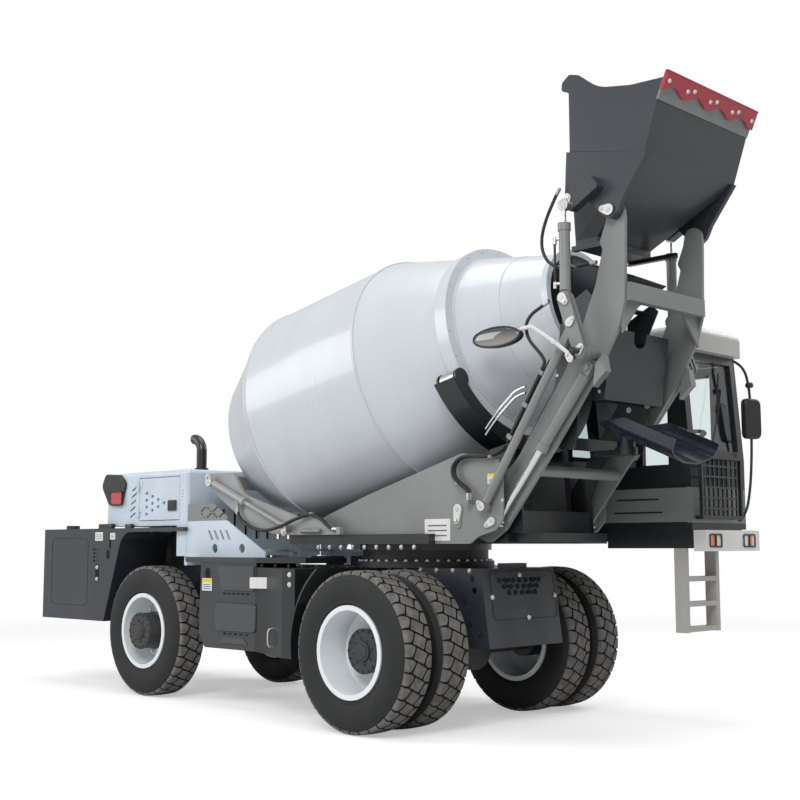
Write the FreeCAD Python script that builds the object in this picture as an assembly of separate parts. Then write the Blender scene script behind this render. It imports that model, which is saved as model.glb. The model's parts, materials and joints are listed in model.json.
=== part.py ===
"""Self-loading concrete mixer: a four-wheel chassis, a turntable that carries drum and cab, and a loading hopper on lift arms.

Machine frame: +X forward, +Y to the driver's left, +Z up, in millimetres. While it is built, x = 0 is the front axle,
y = 0 the middle plane and z = 0 the ground. The finished pieces are moved so that the origin is under the box's middle.
Most pieces come in right and left: they are modelled on the left (+Y) and mirrored.
"""

import FreeCAD
import Part
import math
import os
from FreeCAD import Vector

# ---------------------------------------------------------------- clearances
GAP = 0.3                   # between curved faces that turn on each other
EYE_GAP = 0.5               # between the flat sides of an eye and its lug
SLACK = 6.0                 # between panels that open and what is beside them

# ---------------------------------------------------------------- door hinges
HINGE_R = 12.0
HINGE_H = 42.0              # each half
HINGE_LEAF = 48.0

# ---------------------------------------------------------------- wheels
TYRE_R = 542.0              # out to the tips of the tread
TYRE_W = 300.0              # widest section
TREAD_W = 232.0
RIM_R = 290.0               # bead seat
RIM_W = 272.0               # over the flanges
FLANGE_H = 22.0
FLANGE_T = 14.0
RIM_T = 12.0
HUB_R = 118.0
HUB_LENGTH = 175.0          # how far the hub stands out of the wheel disc
HUB_NECK_R = 62.0
DUAL_OUTER_Y = 1037.0       # middle of the outer front tyre
DUAL_SPACING = 360.0
REAR_TYRE_Y = 712.0
WHEELBASE = 2891.0
REAR_DISC_INSET = 15.0      # the rear wheel's disc lies this far inside its middle

# ---------------------------------------------------------------- axles and steering
AXLE_R = 85.0
AXLE_BOWL_R = 190.0
KINGPIN_Y = 590.0
KINGPIN_R = 22.0
YOKE_H = 290.0              # over both ears of the yoke
YOKE_T = 32.0
YOKE_R = 52.0
STEER_ARM_X = 200.0         # the arm's pin is this far behind the kingpin
STEER_ARM_Y = 545.0
STEER_ARM_T = 22.0
STEER_ROD_R = 17.0
STEER_BARREL_R = 40.0
STEER_BARREL_HALF = 215.0

# ---------------------------------------------------------------- chassis
FRAME_Y = 402.0             # outer faces of the front box
FRAME_TOP = 1090.0
FRAME_BOTTOM = 551.0
FRAME_NOSE_TOP_X = 502.0
FRAME_NOSE_BOTTOM_X = 577.0
FRAME_BACK_X = -1150.0      # where the deep front box ends
FRAME_T = 16.0
LASHING_HOLES = ((440.0, 940.0), (490.0, 640.0))    # (x, z) in each side web
LASHING_R = 22.0
RAIL_Y = 290.0              # outer faces of the rear rails
RAIL_W = 70.0
RAIL_BOTTOM = 760.0
RAIL_END_X = -4540.0
CROSS_RISE = 60.0           # cross members lie this far inside the rails' height
SLEW_X = -400.0
SLEW_R = 520.0
SLEW_BASE_H = 45.0
SLEW_TOP = 1215.0

# ---------------------------------------------------------------- engine, hood and tanks
ENGINE_X0 = -3330.0
ENGINE_X1 = -2560.0
ENGINE_Y = 260.0
ENGINE_Z1 = 1640.0
HOOD_BACK_X = -3640.0
HOOD_FRONT_X = -2420.0
HOOD_Y = 750.0
HOOD_TOP = 1890.0
HOOD_BACK_Z = 1420.0
HOOD_BOTTOM = 1166.0
HOOD_T = 30.0
HOOD_ROUND = 70.0
HOOD_DOOR_X0 = -3120.0
HOOD_DOOR_X1 = -2530.0
HOOD_DOOR_Z0 = 1470.0
HOOD_DOOR_Z1 = 1830.0
HOOD_HINGES = (1540.0, 1760.0)
HOOD_SLOTS = [(-3262.0, 1486.0), (-3264.0, 1541.0), (-3256.0, 1599.0), (-3249.0, 1657.0), (-3240.0, 1715.0)]
SLOT_RUN = 82.0              # of a hood slot, along X
SLOT_RISE = 40.0
SLOT_H = 20.0
DOOR_HOLE_X = -3012.0        # first column of the hood door's holes
DOOR_HOLE_Z = 1612.0         # middle height of the holes
DOOR_HOLE_STEP = (86.0, 60.0)
LATCH_BOX = (-2689.0, -2553.0, 1540.0, 1636.0)
LAMP_OUT = 22.0              # of the tail lamps beyond the hood's side
FAIRING_FRONT_X = -1400.0
FAIRING_TOP = 1450.0
FAIRING_LOW = 1200.0
FAIRING_KNEE_X = -1885.0
FAIRING_Y = 745.0
FAIRING_T = 14.0
FAIRING_SLOT_X = -2125.0     # top of the first slanted slot
FAIRING_SLOT_STEP = 76.0
FAIRING_HOLE_R = 36.0
GRILLE_TOP = 1590.0          # of the raised part with the diamonds
GRILLE_KNEE_X = -2060.0
GRILLE_LOW = 1480.0
EXHAUST_X = -2840.0
EXHAUST_Y = -300.0
EXHAUST_R = 45.0
EXHAUST_TOP = 2190.0
TANK_BACK_X = -4615.0
TANK_Y = 800.0
TANK_TOP = 1405.0
TANK_BOTTOM = 590.0
TANK_FOOT_X = -3575.0
TANK_HEAD_X = -3300.0
SHELF_T = 34.0
SHELF_FRONT_X = -2400.0

# ---------------------------------------------------------------- side boxes and fenders
BOX_BACK_X = -2050.0
BOX_FRONT_X = -1350.0
BOX_Y = 870.0
BOX_INNER_Y = 470.0
BOX_BOTTOM = 455.0
BOX_TOP = 1120.0
BOX_LIP_X = -2250.0
LIP_T = 40.0
FENDER_Y = 1100.0
FENDER_X = -712.0
FENDER_GAP = 130.0          # between the tyre and the fender
FENDER_T = 14.0

# ---------------------------------------------------------------- turntable
DECK_BACK_X = -1230.0
DECK_WAIST_X = 240.0        # forward of this the deck is narrow, so that the arms can pass
DECK_FRONT_X = 760.0
DECK_TIP = 258.0            # the nose's lower end reaches this far ahead of the deck
DECK_Y = 640.0
DECK_NOSE_Y = 415.0
DECK_TOP = 1330.0
SIDE_Y = 560.0              # inner faces of the side plates
SIDE_T = 16.0
SIDE_TOP_X = 487.0
SIDE_TOP_Z = 1873.0
DRUM_TILT = 12.36           # degrees, mouth up
DRUM_X = -1438.0            # middle of the drum's first seam
DRUM_Z = 2291.0
DRUM_TAIL = -567.0
DRUM_TAIL_R = 655.0
DRUM_DISH = 140.0
DRUM_SEAM_R = 926.0
DRUM_BODY = 1214.0
DRUM_BODY_R = 897.0
DRUM_CONE_SLOPE = 0.342
DRUM_RING = 1922.0
DRUM_RING_RISE = 56.0       # the track ring stands this far above the cone
DRUM_RING_W = 104.0
DRUM_END = 2650.0
DRUM_T = 9.0
DRIVE_R = 150.0
DRIVE_LENGTH = 200.0
MOTOR_R = 85.0
MOTOR_LENGTH = 170.0
ROLLER_DEG = 27.0           # below level, each side of the ring
ROLLER_R = 62.0
ROLLER_W = 124.0
SADDLE_T = 16.0
SADDLE_IN = 42.0            # from the ring's rim to the saddle
SADDLE_OUT = 150.0
SADDLE_HALF = 90.0          # the saddle's two plates stand this far from the ring's middle
TAIL_Y = 650.0              # inner faces of the drum's tail plates
TAIL_T = 28.0
TAIL_PIN_X = -2150.0
TAIL_PIN_Z = 1770.0
TAIL_FOOT_X = -1200.0
TAIL_FOOT_Z = 1370.0

# ---------------------------------------------------------------- loader arms
ARM_X = 460.0               # arm pivot
ARM_Z = 1460.0
ARM_Y = 440.0               # inner faces of the arms
ARM_T = 26.0
ARM_TIP_X = 1720.0          # hopper pivot
ARM_TIP_Z = 3350.0
ARM_PIN_R = 34.0
BEAM_X = 1768.0
BEAM_Z = 2835.0
BEAM_H = 115.0
BEAM_W = 60.0
TUBE_X = 1046.0
TUBE_Z = 1736.0
TUBE_R = 38.0
CRANK_X = 1550.0            # bell crank pivot on the arm
CRANK_Z = 2455.0
CRANK_MID_X = 1485.0        # tie rod's pin
CRANK_MID_Z = 2643.0
CRANK_TOP_X = 1430.0        # foot of the tilt cylinder
CRANK_TOP_Z = 2810.0
CRANK_LUG_R = 46.0
CRANK_T = 14.0
LINK_Y = 620.0              # middle of tie rods, cranks and tilt cylinders
LINK_T = 30.0               # thickness of their eyes
TIE_X = 725.0               # tie rod's pin on the turntable
TIE_Z = 1505.0
TIE_R = 29.0
TONGUE = 145.0              # flat upper end of the tie rod
EYE_R = 44.0
PIN_R = 20.0
LIFT_FOOT_X = 752.0         # lift cylinder's pin on the turntable
LIFT_FOOT_Z = 1402.0
LIFT_TOP_X = 1530.0         # and on the arm
LIFT_TOP_Z = 2366.0
LIFT_Y = 515.0
LIFT_R = 38.0
LIFT_ROD_R = 23.0
LIFT_EYE_T = 44.0
LIFT_BARREL = 640.0
LIFT_RETRACT = 100.0        # how far the rod can still go in
TILT_EYE_X = 1430.0         # tilt cylinder's pin on the hopper
TILT_EYE_Z = 3420.0
TILT_R = 36.0
TILT_ROD_R = 14.0
TILT_BARREL = 490.0
TILT_RETRACT = 55.0
ROD_INSIDE = 290.0          # rod inside the barrel as it stands
MIRROR_X = 963.0
MIRROR_Y = -735.0
MIRROR_Z = 2600.0
MIRROR_HALF_W = 200.0
MIRROR_HALF_H = 68.0
MIRROR_T = 40.0
MIRROR_ROD_R = 11.0

# ---------------------------------------------------------------- hopper
HOPPER_Y = 535.0            # outer faces of the sides
HOPPER_T = 8.0
HOPPER_BACK_X = 1420.0
HOPPER_FOLD_BACK_Z = 3800.0
HOPPER_FOLD_X = 1990.0
HOPPER_FOLD_Z = 3668.0
HOPPER_LIP_X = 2160.0
HOPPER_LIP_Z = 4105.0
GATE_Z = 3222.0
GATE_Y = 310.0
GATE_X0 = 1275.0
GATE_X1 = 1475.0
GATE_T = 10.0
GATE_TRAVEL = 190.0
OVERLAY_T = 30.0
EDGE_T = 34.0
EDGE_LOW = 30.0
EDGE_H = 92.0
EDGE_TEETH = 7

# ---------------------------------------------------------------- mouth frame, feed hopper and chute
MOUTH_FRAME_Y = 395.0       # outer faces
MOUTH_FRAME_T = 14.0
FEED_TOP_Z = 3110.0
FEED_X0 = 1290.0
FEED_X1 = 1560.0
FEED_Y = 350.0
FEED_T = 8.0
CHUTE_PIVOT_X = 1440.0
CHUTE_PIVOT_Z = 2020.0
CHUTE_END_X = 1925.0
CHUTE_END_Z = 1760.0
CHUTE_Y = 262.0
CHUTE_SEAT_Z = 1890.0       # top of the chute's bearing
CHUTE_DEPTH = 150.0
CHUTE_T = 10.0

# ---------------------------------------------------------------- cab
CAB_Y0 = 764.0
CAB_Y1 = 1500.0
CAB_X0 = 260.0
CAB_X1 = 1450.0
CAB_FLOOR = 1360.0
CAB_SILL = 1930.0
CAB_EAVE = 2640.0
CAB_ROOF_H = 180.0
CAB_T = 45.0
CAB_LEAN = 60.0             # the windscreen's top lies this far back
PILLAR = 70.0
GLASS_T = 8.0
DOOR_X0 = 520.0
DOOR_X1 = 1270.0
DOOR_Z0 = 1440.0
DOOR_HEAD = 55.0            # from the door's top to the eave
DOOR_HINGES = (1620.0, 2380.0)
BEAM_UNDER_Z = 1225.0       # underside of the beams that carry the cab
GUARD_X = 1505.0
GUARD_Y1 = 1330.0
GUARD_Z0 = 1430.0
GUARD_Z1 = 1880.0
GUARD_BAR = 12.0
BUMPER_X = 1560.0
BUMPER_Z0 = 1205.0
BUMPER_Z1 = 1352.0
BUMPER_D = 95.0
LADDER_X = 1320.0
LADDER_Y0 = 725.0
LADDER_Y1 = 1170.0
LADDER_Z = 640.0
LADDER_STILE = 45.0
LADDER_STEPS = 3

# ---- hydraulic hoses: routes on the right side as (x, y, z) points, chosen by hand
HOSE_R = 11.0
HOSE_SPACING = 25.0
HUMP_TOP = (-925.0, 1488.0)   # rounded top of the plate ahead of the drum's tail support
HUMP_END_X = -600.0
TAIL_HOSE_R = 13.0
TAIL_HOSE = [(-1800, -708, 1556), (-1800, -708, 1508), (-1744, -708, 1450), (-1660, -710, 1408), (-1550, -718, 1378),
             (-1420, -742, 1366), (-1290, -758, 1376), (-1165, -762, 1408), (-1045, -722, 1458), (-925, -693, 1484),
             (-815, -693, 1452), (-745, -693, 1402), (-690, -693, 1368), (-626, -693, 1368)]
LOOP_HOSE = [(918, -600, 1893), (860, -600, 1858), (790, -600, 1842), (700, -600, 1838), (590, -600, 1852), (500, -600, 1836),
             (444, -600, 1780), (452, -600, 1712), (506, -600, 1666), (580, -600, 1624), (590, -600, 1586), (590, -600, 1552)]
BUNDLE_START = 470.0          # along the tie rod from its foot
BUNDLE_END = 1030.0
BUNDLE_OFF = 48.0             # from the tie rod's axis to the hoses' axes
CRANK_HOSE = [(1275, -642, 2428), (1238, -664, 2490), (1192, -684, 2548), (1164, -690, 2612), (1164, -690, 2680),
              (1212, -690, 2732), (1284, -690, 2762), (1352, -690, 2796)]
ARM_HOSE = [(1304, -607, 2440), (1362, -607, 2464)]
BARREL_PIPE_X = 1378.0
BARREL_PIPE_Y = -655.0
BARREL_PIPE_R = 8.0
HOPPER_HOSE = [(1352, -560, 3560), (1296, -560, 3474), (1232, -556, 3370), (1190, -552, 3262), (1190, -545, 3162),
               (1236, -530, 3078), (1320, -512, 3040), (1430, -500, 3034), (1590, -500, 3040)]

# ---------------------------------------------------------------- worked out
DRUM_DIR = Vector(math.cos(math.radians(DRUM_TILT)), 0, math.sin(math.radians(DRUM_TILT)))
DRUM_UP = Vector(-DRUM_DIR.z, 0, DRUM_DIR.x)
DRUM_ORIGIN = Vector(DRUM_X, 0, DRUM_Z)
RING_R0 = DRUM_BODY_R - DRUM_CONE_SLOPE * (DRUM_RING - DRUM_BODY)
DRUM_RING_R = RING_R0 + DRUM_RING_RISE
MOUTH_R = DRUM_BODY_R - DRUM_CONE_SLOPE * (DRUM_END - DRUM_BODY)
RING_CENTRE = DRUM_ORIGIN + DRUM_DIR * DRUM_RING
ROLLER_REACH = DRUM_RING_R + GAP + ROLLER_R
ROLLER_ANGLE = math.radians(ROLLER_DEG)
ROLLER_Y = ROLLER_REACH * math.cos(ROLLER_ANGLE)
ROLLER_CENTRE = RING_CENTRE - DRUM_UP * (ROLLER_REACH * math.sin(ROLLER_ANGLE))
DUAL_INNER_Y = DUAL_OUTER_Y - DUAL_SPACING
DUAL_DISC_Y = (DUAL_OUTER_Y + DUAL_INNER_Y) / 2
REAR_DISC_Y = REAR_TYRE_Y - REAR_DISC_INSET
REAR_X = -WHEELBASE
STEER_ROD_X = REAR_X - STEER_ARM_X
STEER_ROD_Z = TYRE_R + STEER_ARM_T / 2 + EYE_GAP + STEER_ROD_R
DECK_Z = SLEW_TOP
CAB_ROOF = CAB_EAVE + CAB_ROOF_H
DOOR_Z1 = CAB_EAVE - DOOR_HEAD
SHIFT = Vector(-(TANK_BACK_X + HOPPER_LIP_X + EDGE_T) / 2, -(CAB_Y1 - DUAL_OUTER_Y - TYRE_W / 2) / 2, 0)

# ---------------------------------------------------------------- shared shapes


def box(x0, x1, y0, y1, z0, z1):
    """A block between two corners."""
    return Part.makeBox(x1 - x0, y1 - y0, z1 - z0, Vector(x0, y0, z0))


def rod(start, end, radius):
    """A round bar between two points."""
    start = Vector(*start)
    along = Vector(*end) - start
    return Part.makeCylinder(radius, along.Length, start, along)


def pin_y(x, z, radius, y0, y1):
    """A round bar across the machine."""
    return rod((x, y0, z), (x, y1, z), radius)


def corner_edges(before, corner, after, radius):
    """Start and end of the arc that rounds a corner, and the arc's middle."""
    back = (before - corner).normalize()
    ahead = (after - corner).normalize()
    half = back.getAngle(ahead) / 2
    reach = radius / math.tan(half)
    middle = corner + (back + ahead).normalize() * (radius / math.sin(half) - radius)
    return corner + back * reach, middle, corner + ahead * reach


def outline(points):
    """A closed flat wire in the XY plane. A third number rounds that corner by its radius."""
    corners = [Vector(p[0], p[1], 0) for p in points]
    edges = []
    joins = []
    for i, point in enumerate(points):
        if len(point) == 2:
            joins.append((corners[i], corners[i]))
            continue
        start, middle, end = corner_edges(corners[i - 1], corners[i], corners[(i + 1) % len(points)], point[2])
        joins.append((start, end))
        edges.append(Part.Arc(start, middle, end).toShape())
    for i, join in enumerate(joins):
        start = join[1]
        end = joins[(i + 1) % len(joins)][0]
        if start.distanceToPoint(end) > 1e-6:
            edges.append(Part.LineSegment(start, end).toShape())
    return Part.Wire(Part.__sortEdges__(edges))


def plate_z(points, z0, z1):
    """A plate with an outline of (x, y) points, from z0 to z1."""
    face = Part.Face(outline(points))
    face.translate(Vector(0, 0, z0))
    return face.extrude(Vector(0, 0, z1 - z0))


def plate_y(points, y0, y1):
    """A plate with an outline of (x, z) points, from y0 to y1."""
    face = Part.Face(outline(points))
    face.rotate(Vector(0, 0, 0), Vector(1, 0, 0), 90)
    face.translate(Vector(0, y0, 0))
    return face.extrude(Vector(0, y1 - y0, 0))


def plate_x(points, x0, x1):
    """A plate with an outline of (y, z) points, from x0 to x1."""
    face = Part.Face(outline(points))
    face.rotate(Vector(0, 0, 0), Vector(1, 0, 0), 90)
    face.rotate(Vector(0, 0, 0), Vector(0, 0, 1), 90)
    face.translate(Vector(x0, 0, 0))
    return face.extrude(Vector(x1 - x0, 0, 0))


def turned(points, start, axis, *more):
    """A round body: outlines of (along, radius) points, merged and turned about an axis that begins at start."""
    faces = []
    for line in (points,) + more:
        corners = [Vector(along, radius, 0) for along, radius in line]
        faces.append(Part.Face(Part.makePolygon(corners + corners[:1])))
    if more:
        merged = faces[0].fuse(faces[1:]).removeSplitter()
        solids = [face.revolve(Vector(0, 0, 0), Vector(1, 0, 0), 360) for face in merged.Faces]
        body = solids[0] if len(solids) == 1 else joined(*solids)
    else:
        body = faces[0].revolve(Vector(0, 0, 0), Vector(1, 0, 0), 360)
    body.Placement = FreeCAD.Placement(Vector(*start), FreeCAD.Rotation(Vector(1, 0, 0), Vector(*axis)))
    return body


def tube(points, radius):
    """A hose of straight runs joined by arcs, each arc as large as its two runs allow."""
    points = [Vector(*p) for p in points]
    edges = []
    start = points[0]
    for before, corner, after in zip(points, points[1:], points[2:]):
        back = before - corner
        on = after - corner
        reach = 0.45 * min(back.Length, on.Length)
        half = back.getAngle(on) / 2
        first = corner + back.normalize() * reach
        last = corner + on.normalize() * reach
        centre = corner + (back + on).normalize() * (reach / math.cos(half))
        middle = centre + (corner - centre).normalize() * (reach * math.tan(half))
        edges.append(Part.LineSegment(start, first).toShape())
        edges.append(Part.Arc(first, middle, last).toShape())
        start = last
    edges.append(Part.LineSegment(start, points[-1]).toShape())
    ring = Part.Wire(Part.makeCircle(radius, points[0], points[1] - points[0]))
    return Part.Wire(edges).makePipeShell([ring], True, True)


def joined(*shapes):
    """One solid of pieces that touch or overlap, with seams between flat faces merged where that holds."""
    body = shapes[0].fuse(list(shapes[1:]))
    merged = body.removeSplitter()
    return merged if merged.isValid() else body


def mirrored(shape):
    """The right-hand copy of a left-hand piece."""
    return shape.mirror(Vector(0, 0, 0), Vector(0, 1, 0))


def pair(shape):
    """A left-hand piece and its right-hand copy."""
    return [shape, mirrored(shape)]


def hinge_pair(x, y, z, side):
    """One lift-off hinge on a panel whose face is at y: (fixed half, door half). The door lies towards side (1 or -1) in x."""
    axis_y = y + HINGE_R
    leaf = side * HINGE_LEAF
    low = z - HINGE_H
    fixed_leaf = box(min(x, x - leaf), max(x, x - leaf), y, y + HINGE_R / 2, low, z)
    door_leaf = box(min(x, x + leaf), max(x, x + leaf), y, y + HINGE_R / 2, z + EYE_GAP, z + HINGE_H)
    fixed = joined(rod((x, axis_y, low), (x, axis_y, z), HINGE_R), rod((x, axis_y, low), (x, axis_y, z + HINGE_H - 8), HINGE_R / 2),
                   fixed_leaf)
    door = joined(rod((x, axis_y, z + EYE_GAP), (x, axis_y, z + HINGE_H), HINGE_R), door_leaf)
    return fixed, door.cut(rod((x, axis_y, z), (x, axis_y, z + HINGE_H - 6), HINGE_R / 2 + GAP))


def moved(shape, offset):
    """A copy of a shape, moved."""
    copy = shape.copy()
    copy.translate(Vector(*offset))
    return copy


def save(node, *shapes):
    """Write the solids of one node, moved so that the origin is under the middle of the machine's box."""
    solids = [solid for shape in shapes for solid in shape.Solids]
    group = Part.makeCompound([moved(solid, SHIFT) for solid in solids])
    if not group.isValid():
        raise ValueError(node + " is not valid")
    group.exportStep("parts/" + node + ".step")
    print(node, len(solids), "solids", round(group.Volume / 1e9, 5), "m3")


# ---------------------------------------------------------------- wheels


def tyre(y):
    """One tyre: bead, round side walls and a flat tread."""
    bead_w = RIM_W / 2 - FLANGE_T
    bead_top = RIM_R + FLANGE_H
    bulge_r = (bead_top + TYRE_R) / 2
    side = [(bead_w, RIM_R), (bead_w, bead_top + 6), (TYRE_W / 2 - 6, bulge_r - 40), (TYRE_W / 2, bulge_r)]
    side += [(TYRE_W / 2 - 5, bulge_r + 45), (TREAD_W / 2 + 14, TYRE_R - 24), (TREAD_W / 2, TYRE_R)]
    other = [(-w, r) for w, r in reversed(side)]
    return turned(side + other, (0, y, 0), (0, 1, 0))


def rim(y, disc_y):
    """Two outlines of one rim: the barrel with its flanges, and the coned disc that reaches the hub at disc_y."""
    half = RIM_W / 2
    seat = half - FLANGE_T
    inner = RIM_R - RIM_T
    edge = RIM_R + FLANGE_H
    barrel = [(-half, inner), (-half, edge), (-seat, edge), (-seat, RIM_R), (seat, RIM_R), (seat, edge), (half, edge)]
    barrel.append((half, inner))
    side = 1 if disc_y >= y else -1
    lip = side * (half - 3 * RIM_T)
    disc = disc_y - y
    foot = HUB_R + 50
    cone = [(lip, inner + RIM_T / 2), (disc, foot), (disc, HUB_NECK_R), (disc + side * RIM_T, HUB_NECK_R)]
    cone += [(disc + side * RIM_T, foot + RIM_T / 3), (lip + side * 2 * RIM_T, inner + RIM_T / 2)]
    return [[(y + along, radius) for along, radius in line] for line in (barrel, cone)]


def hub(disc_y):
    """Outline of a drive hub: a stepped drum that stands out of the wheel disc."""
    end = disc_y + HUB_LENGTH
    return [(disc_y, 0), (disc_y, HUB_R + 34), (disc_y + RIM_T + 16, HUB_R + 34), (disc_y + RIM_T + 16, HUB_R),
            (end - 34, HUB_R - 12), (end - 20, HUB_R - 30), (end - 20, HUB_NECK_R), (end, HUB_NECK_R - 8), (end, 0)]


def save_wheels():
    """Front twin wheels and rear single wheels, left and right."""
    front = Vector(0, 0, TYRE_R)
    rear = Vector(REAR_X, 0, TYRE_R)
    outer_rim = rim(DUAL_OUTER_Y, DUAL_DISC_Y)
    twins = turned(hub(DUAL_DISC_Y), (0, 0, 0), (0, 1, 0), *outer_rim, *rim(DUAL_INNER_Y, DUAL_DISC_Y))
    single = turned(hub(REAR_DISC_Y), (0, 0, 0), (0, 1, 0), *rim(REAR_TYRE_Y, REAR_DISC_Y))
    for side, shape in zip(("left", "right"), (lambda s: s, mirrored)):
        tyres = [shape(moved(tyre(y), front)) for y in (DUAL_OUTER_Y, DUAL_INNER_Y)]
        save("front_tyres_" + side, *tyres)
        save("front_rims_" + side, shape(moved(twins, front)))
        save("rear_tyre_" + side, shape(moved(tyre(REAR_TYRE_Y), rear)))
        save("rear_rim_" + side, shape(moved(single, rear)))


# ---------------------------------------------------------------- axles and steering


def save_front_axle():
    """Rigid drive axle: tapered arms, a round bowl with its nose, and pads under the frame."""
    end_y = DUAL_DISC_Y - RIM_T - EYE_GAP
    arm = rod((0, 0, TYRE_R), (0, end_y, TYRE_R), AXLE_R)
    drum = pin_y(0, TYRE_R, AXLE_R * 1.55, DUAL_INNER_Y - 40, end_y)
    bowl = rod((-95, 0, TYRE_R), (95, 0, TYRE_R), AXLE_BOWL_R)
    nose = rod((-230, 0, TYRE_R), (-95, 0, TYRE_R), AXLE_BOWL_R / 2)
    pad = box(-110, 110, FRAME_Y - 3 * FRAME_T, FRAME_Y, TYRE_R, TYRE_R + AXLE_R + 20)
    save("front_axle", joined(arm, mirrored(arm), drum, mirrored(drum), bowl, nose, pad, mirrored(pad)))


def save_rear_axle():
    """Steered drive axle: beam, bowl, a yoke at each end and the steering cylinder's barrel behind it."""
    z = TYRE_R
    ear_y = KINGPIN_Y - YOKE_R - 30
    beam = rod((REAR_X, 0, z), (REAR_X, ear_y, z), AXLE_R)
    bowl = rod((REAR_X - 90, 0, z), (REAR_X + 90, 0, z), AXLE_BOWL_R)
    nose = rod((REAR_X + 90, 0, z), (REAR_X + 215, 0, z), AXLE_BOWL_R / 2)
    low = z - YOKE_H / 2
    high = z + YOKE_H / 2
    back = box(REAR_X - YOKE_R, REAR_X + YOKE_R, ear_y - 35, ear_y, low, high)
    ears = []
    for z0 in (low, high - YOKE_T):
        ear = joined(box(REAR_X - YOKE_R, REAR_X + YOKE_R, ear_y - 35, KINGPIN_Y, z0, z0 + YOKE_T),
                     rod((REAR_X, KINGPIN_Y, z0), (REAR_X, KINGPIN_Y, z0 + YOKE_T), YOKE_R))
        ears.append(ear.cut(rod((REAR_X, KINGPIN_Y, z0 - 1), (REAR_X, KINGPIN_Y, z0 + YOKE_T + 1), KINGPIN_R + GAP)))
    slot = box(REAR_X - AXLE_R - 1, REAR_X - 45, ear_y - 36, ear_y + 1, z - STEER_ARM_T, z + STEER_ARM_T)
    pad_in = RAIL_Y - RAIL_W
    pad = box(REAR_X - 100, REAR_X + 100, pad_in, RAIL_Y, z, RAIL_BOTTOM)
    yokes = [joined(beam, back, pad, *ears).cut(slot)]
    yokes.append(mirrored(yokes[0]))
    barrel = pin_y(STEER_ROD_X, STEER_ROD_Z, STEER_BARREL_R, -STEER_BARREL_HALF, STEER_BARREL_HALF)
    mount = box(STEER_ROD_X, REAR_X - 60, -STEER_BARREL_HALF + 40, STEER_BARREL_HALF - 40, z - 20, z + 20)
    bore = pin_y(STEER_ROD_X, STEER_ROD_Z, STEER_ROD_R + GAP, -STEER_BARREL_HALF - 1, STEER_BARREL_HALF + 1)
    save("rear_axle", joined(*yokes, bowl, nose, barrel, mount).cut(bore))


def save_knuckles():
    """Steering knuckles: kingpin, post, spindle flange and the arm to the steering rod."""
    z = TYRE_R
    post_half = YOKE_H / 2 - YOKE_T - EYE_GAP
    post = rod((REAR_X, KINGPIN_Y, z - post_half), (REAR_X, KINGPIN_Y, z + post_half), YOKE_R - 6)
    kingpin = rod((REAR_X, KINGPIN_Y, z - YOKE_H / 2), (REAR_X, KINGPIN_Y, z + YOKE_H / 2), KINGPIN_R)
    spindle = pin_y(REAR_X, z, HUB_NECK_R - 10, KINGPIN_Y, REAR_DISC_Y - RIM_T - EYE_GAP)
    flange = pin_y(REAR_X, z, HUB_NECK_R + 30, REAR_DISC_Y - RIM_T - 26, REAR_DISC_Y - RIM_T - EYE_GAP)
    arm_line = [(REAR_X, KINGPIN_Y - 30), (REAR_X, KINGPIN_Y + 30), (STEER_ROD_X, STEER_ARM_Y + 26)]
    arm_line += [(STEER_ROD_X, STEER_ARM_Y - 26)]
    arm = plate_z(arm_line, z - STEER_ARM_T / 2, z + STEER_ARM_T / 2)
    tip = rod((STEER_ROD_X, STEER_ARM_Y, z - STEER_ARM_T / 2), (STEER_ROD_X, STEER_ARM_Y, z + STEER_ARM_T / 2), 28)
    knuckle = joined(post, kingpin, spindle, flange, arm, tip)
    save("knuckle_left", knuckle)
    save("knuckle_right", mirrored(knuckle))


def save_steering_rod():
    """The steering cylinder's rod, which runs through its barrel to an eye over each knuckle's arm."""
    end = STEER_ARM_Y
    bar = pin_y(STEER_ROD_X, STEER_ROD_Z, STEER_ROD_R, -end, end)
    eye = rod((STEER_ROD_X, end, STEER_ROD_Z - STEER_ROD_R), (STEER_ROD_X, end, STEER_ROD_Z + STEER_ROD_R), 26)
    save("steering_rod", joined(bar, eye, mirrored(eye)))

# ---------------------------------------------------------------- chassis


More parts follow.
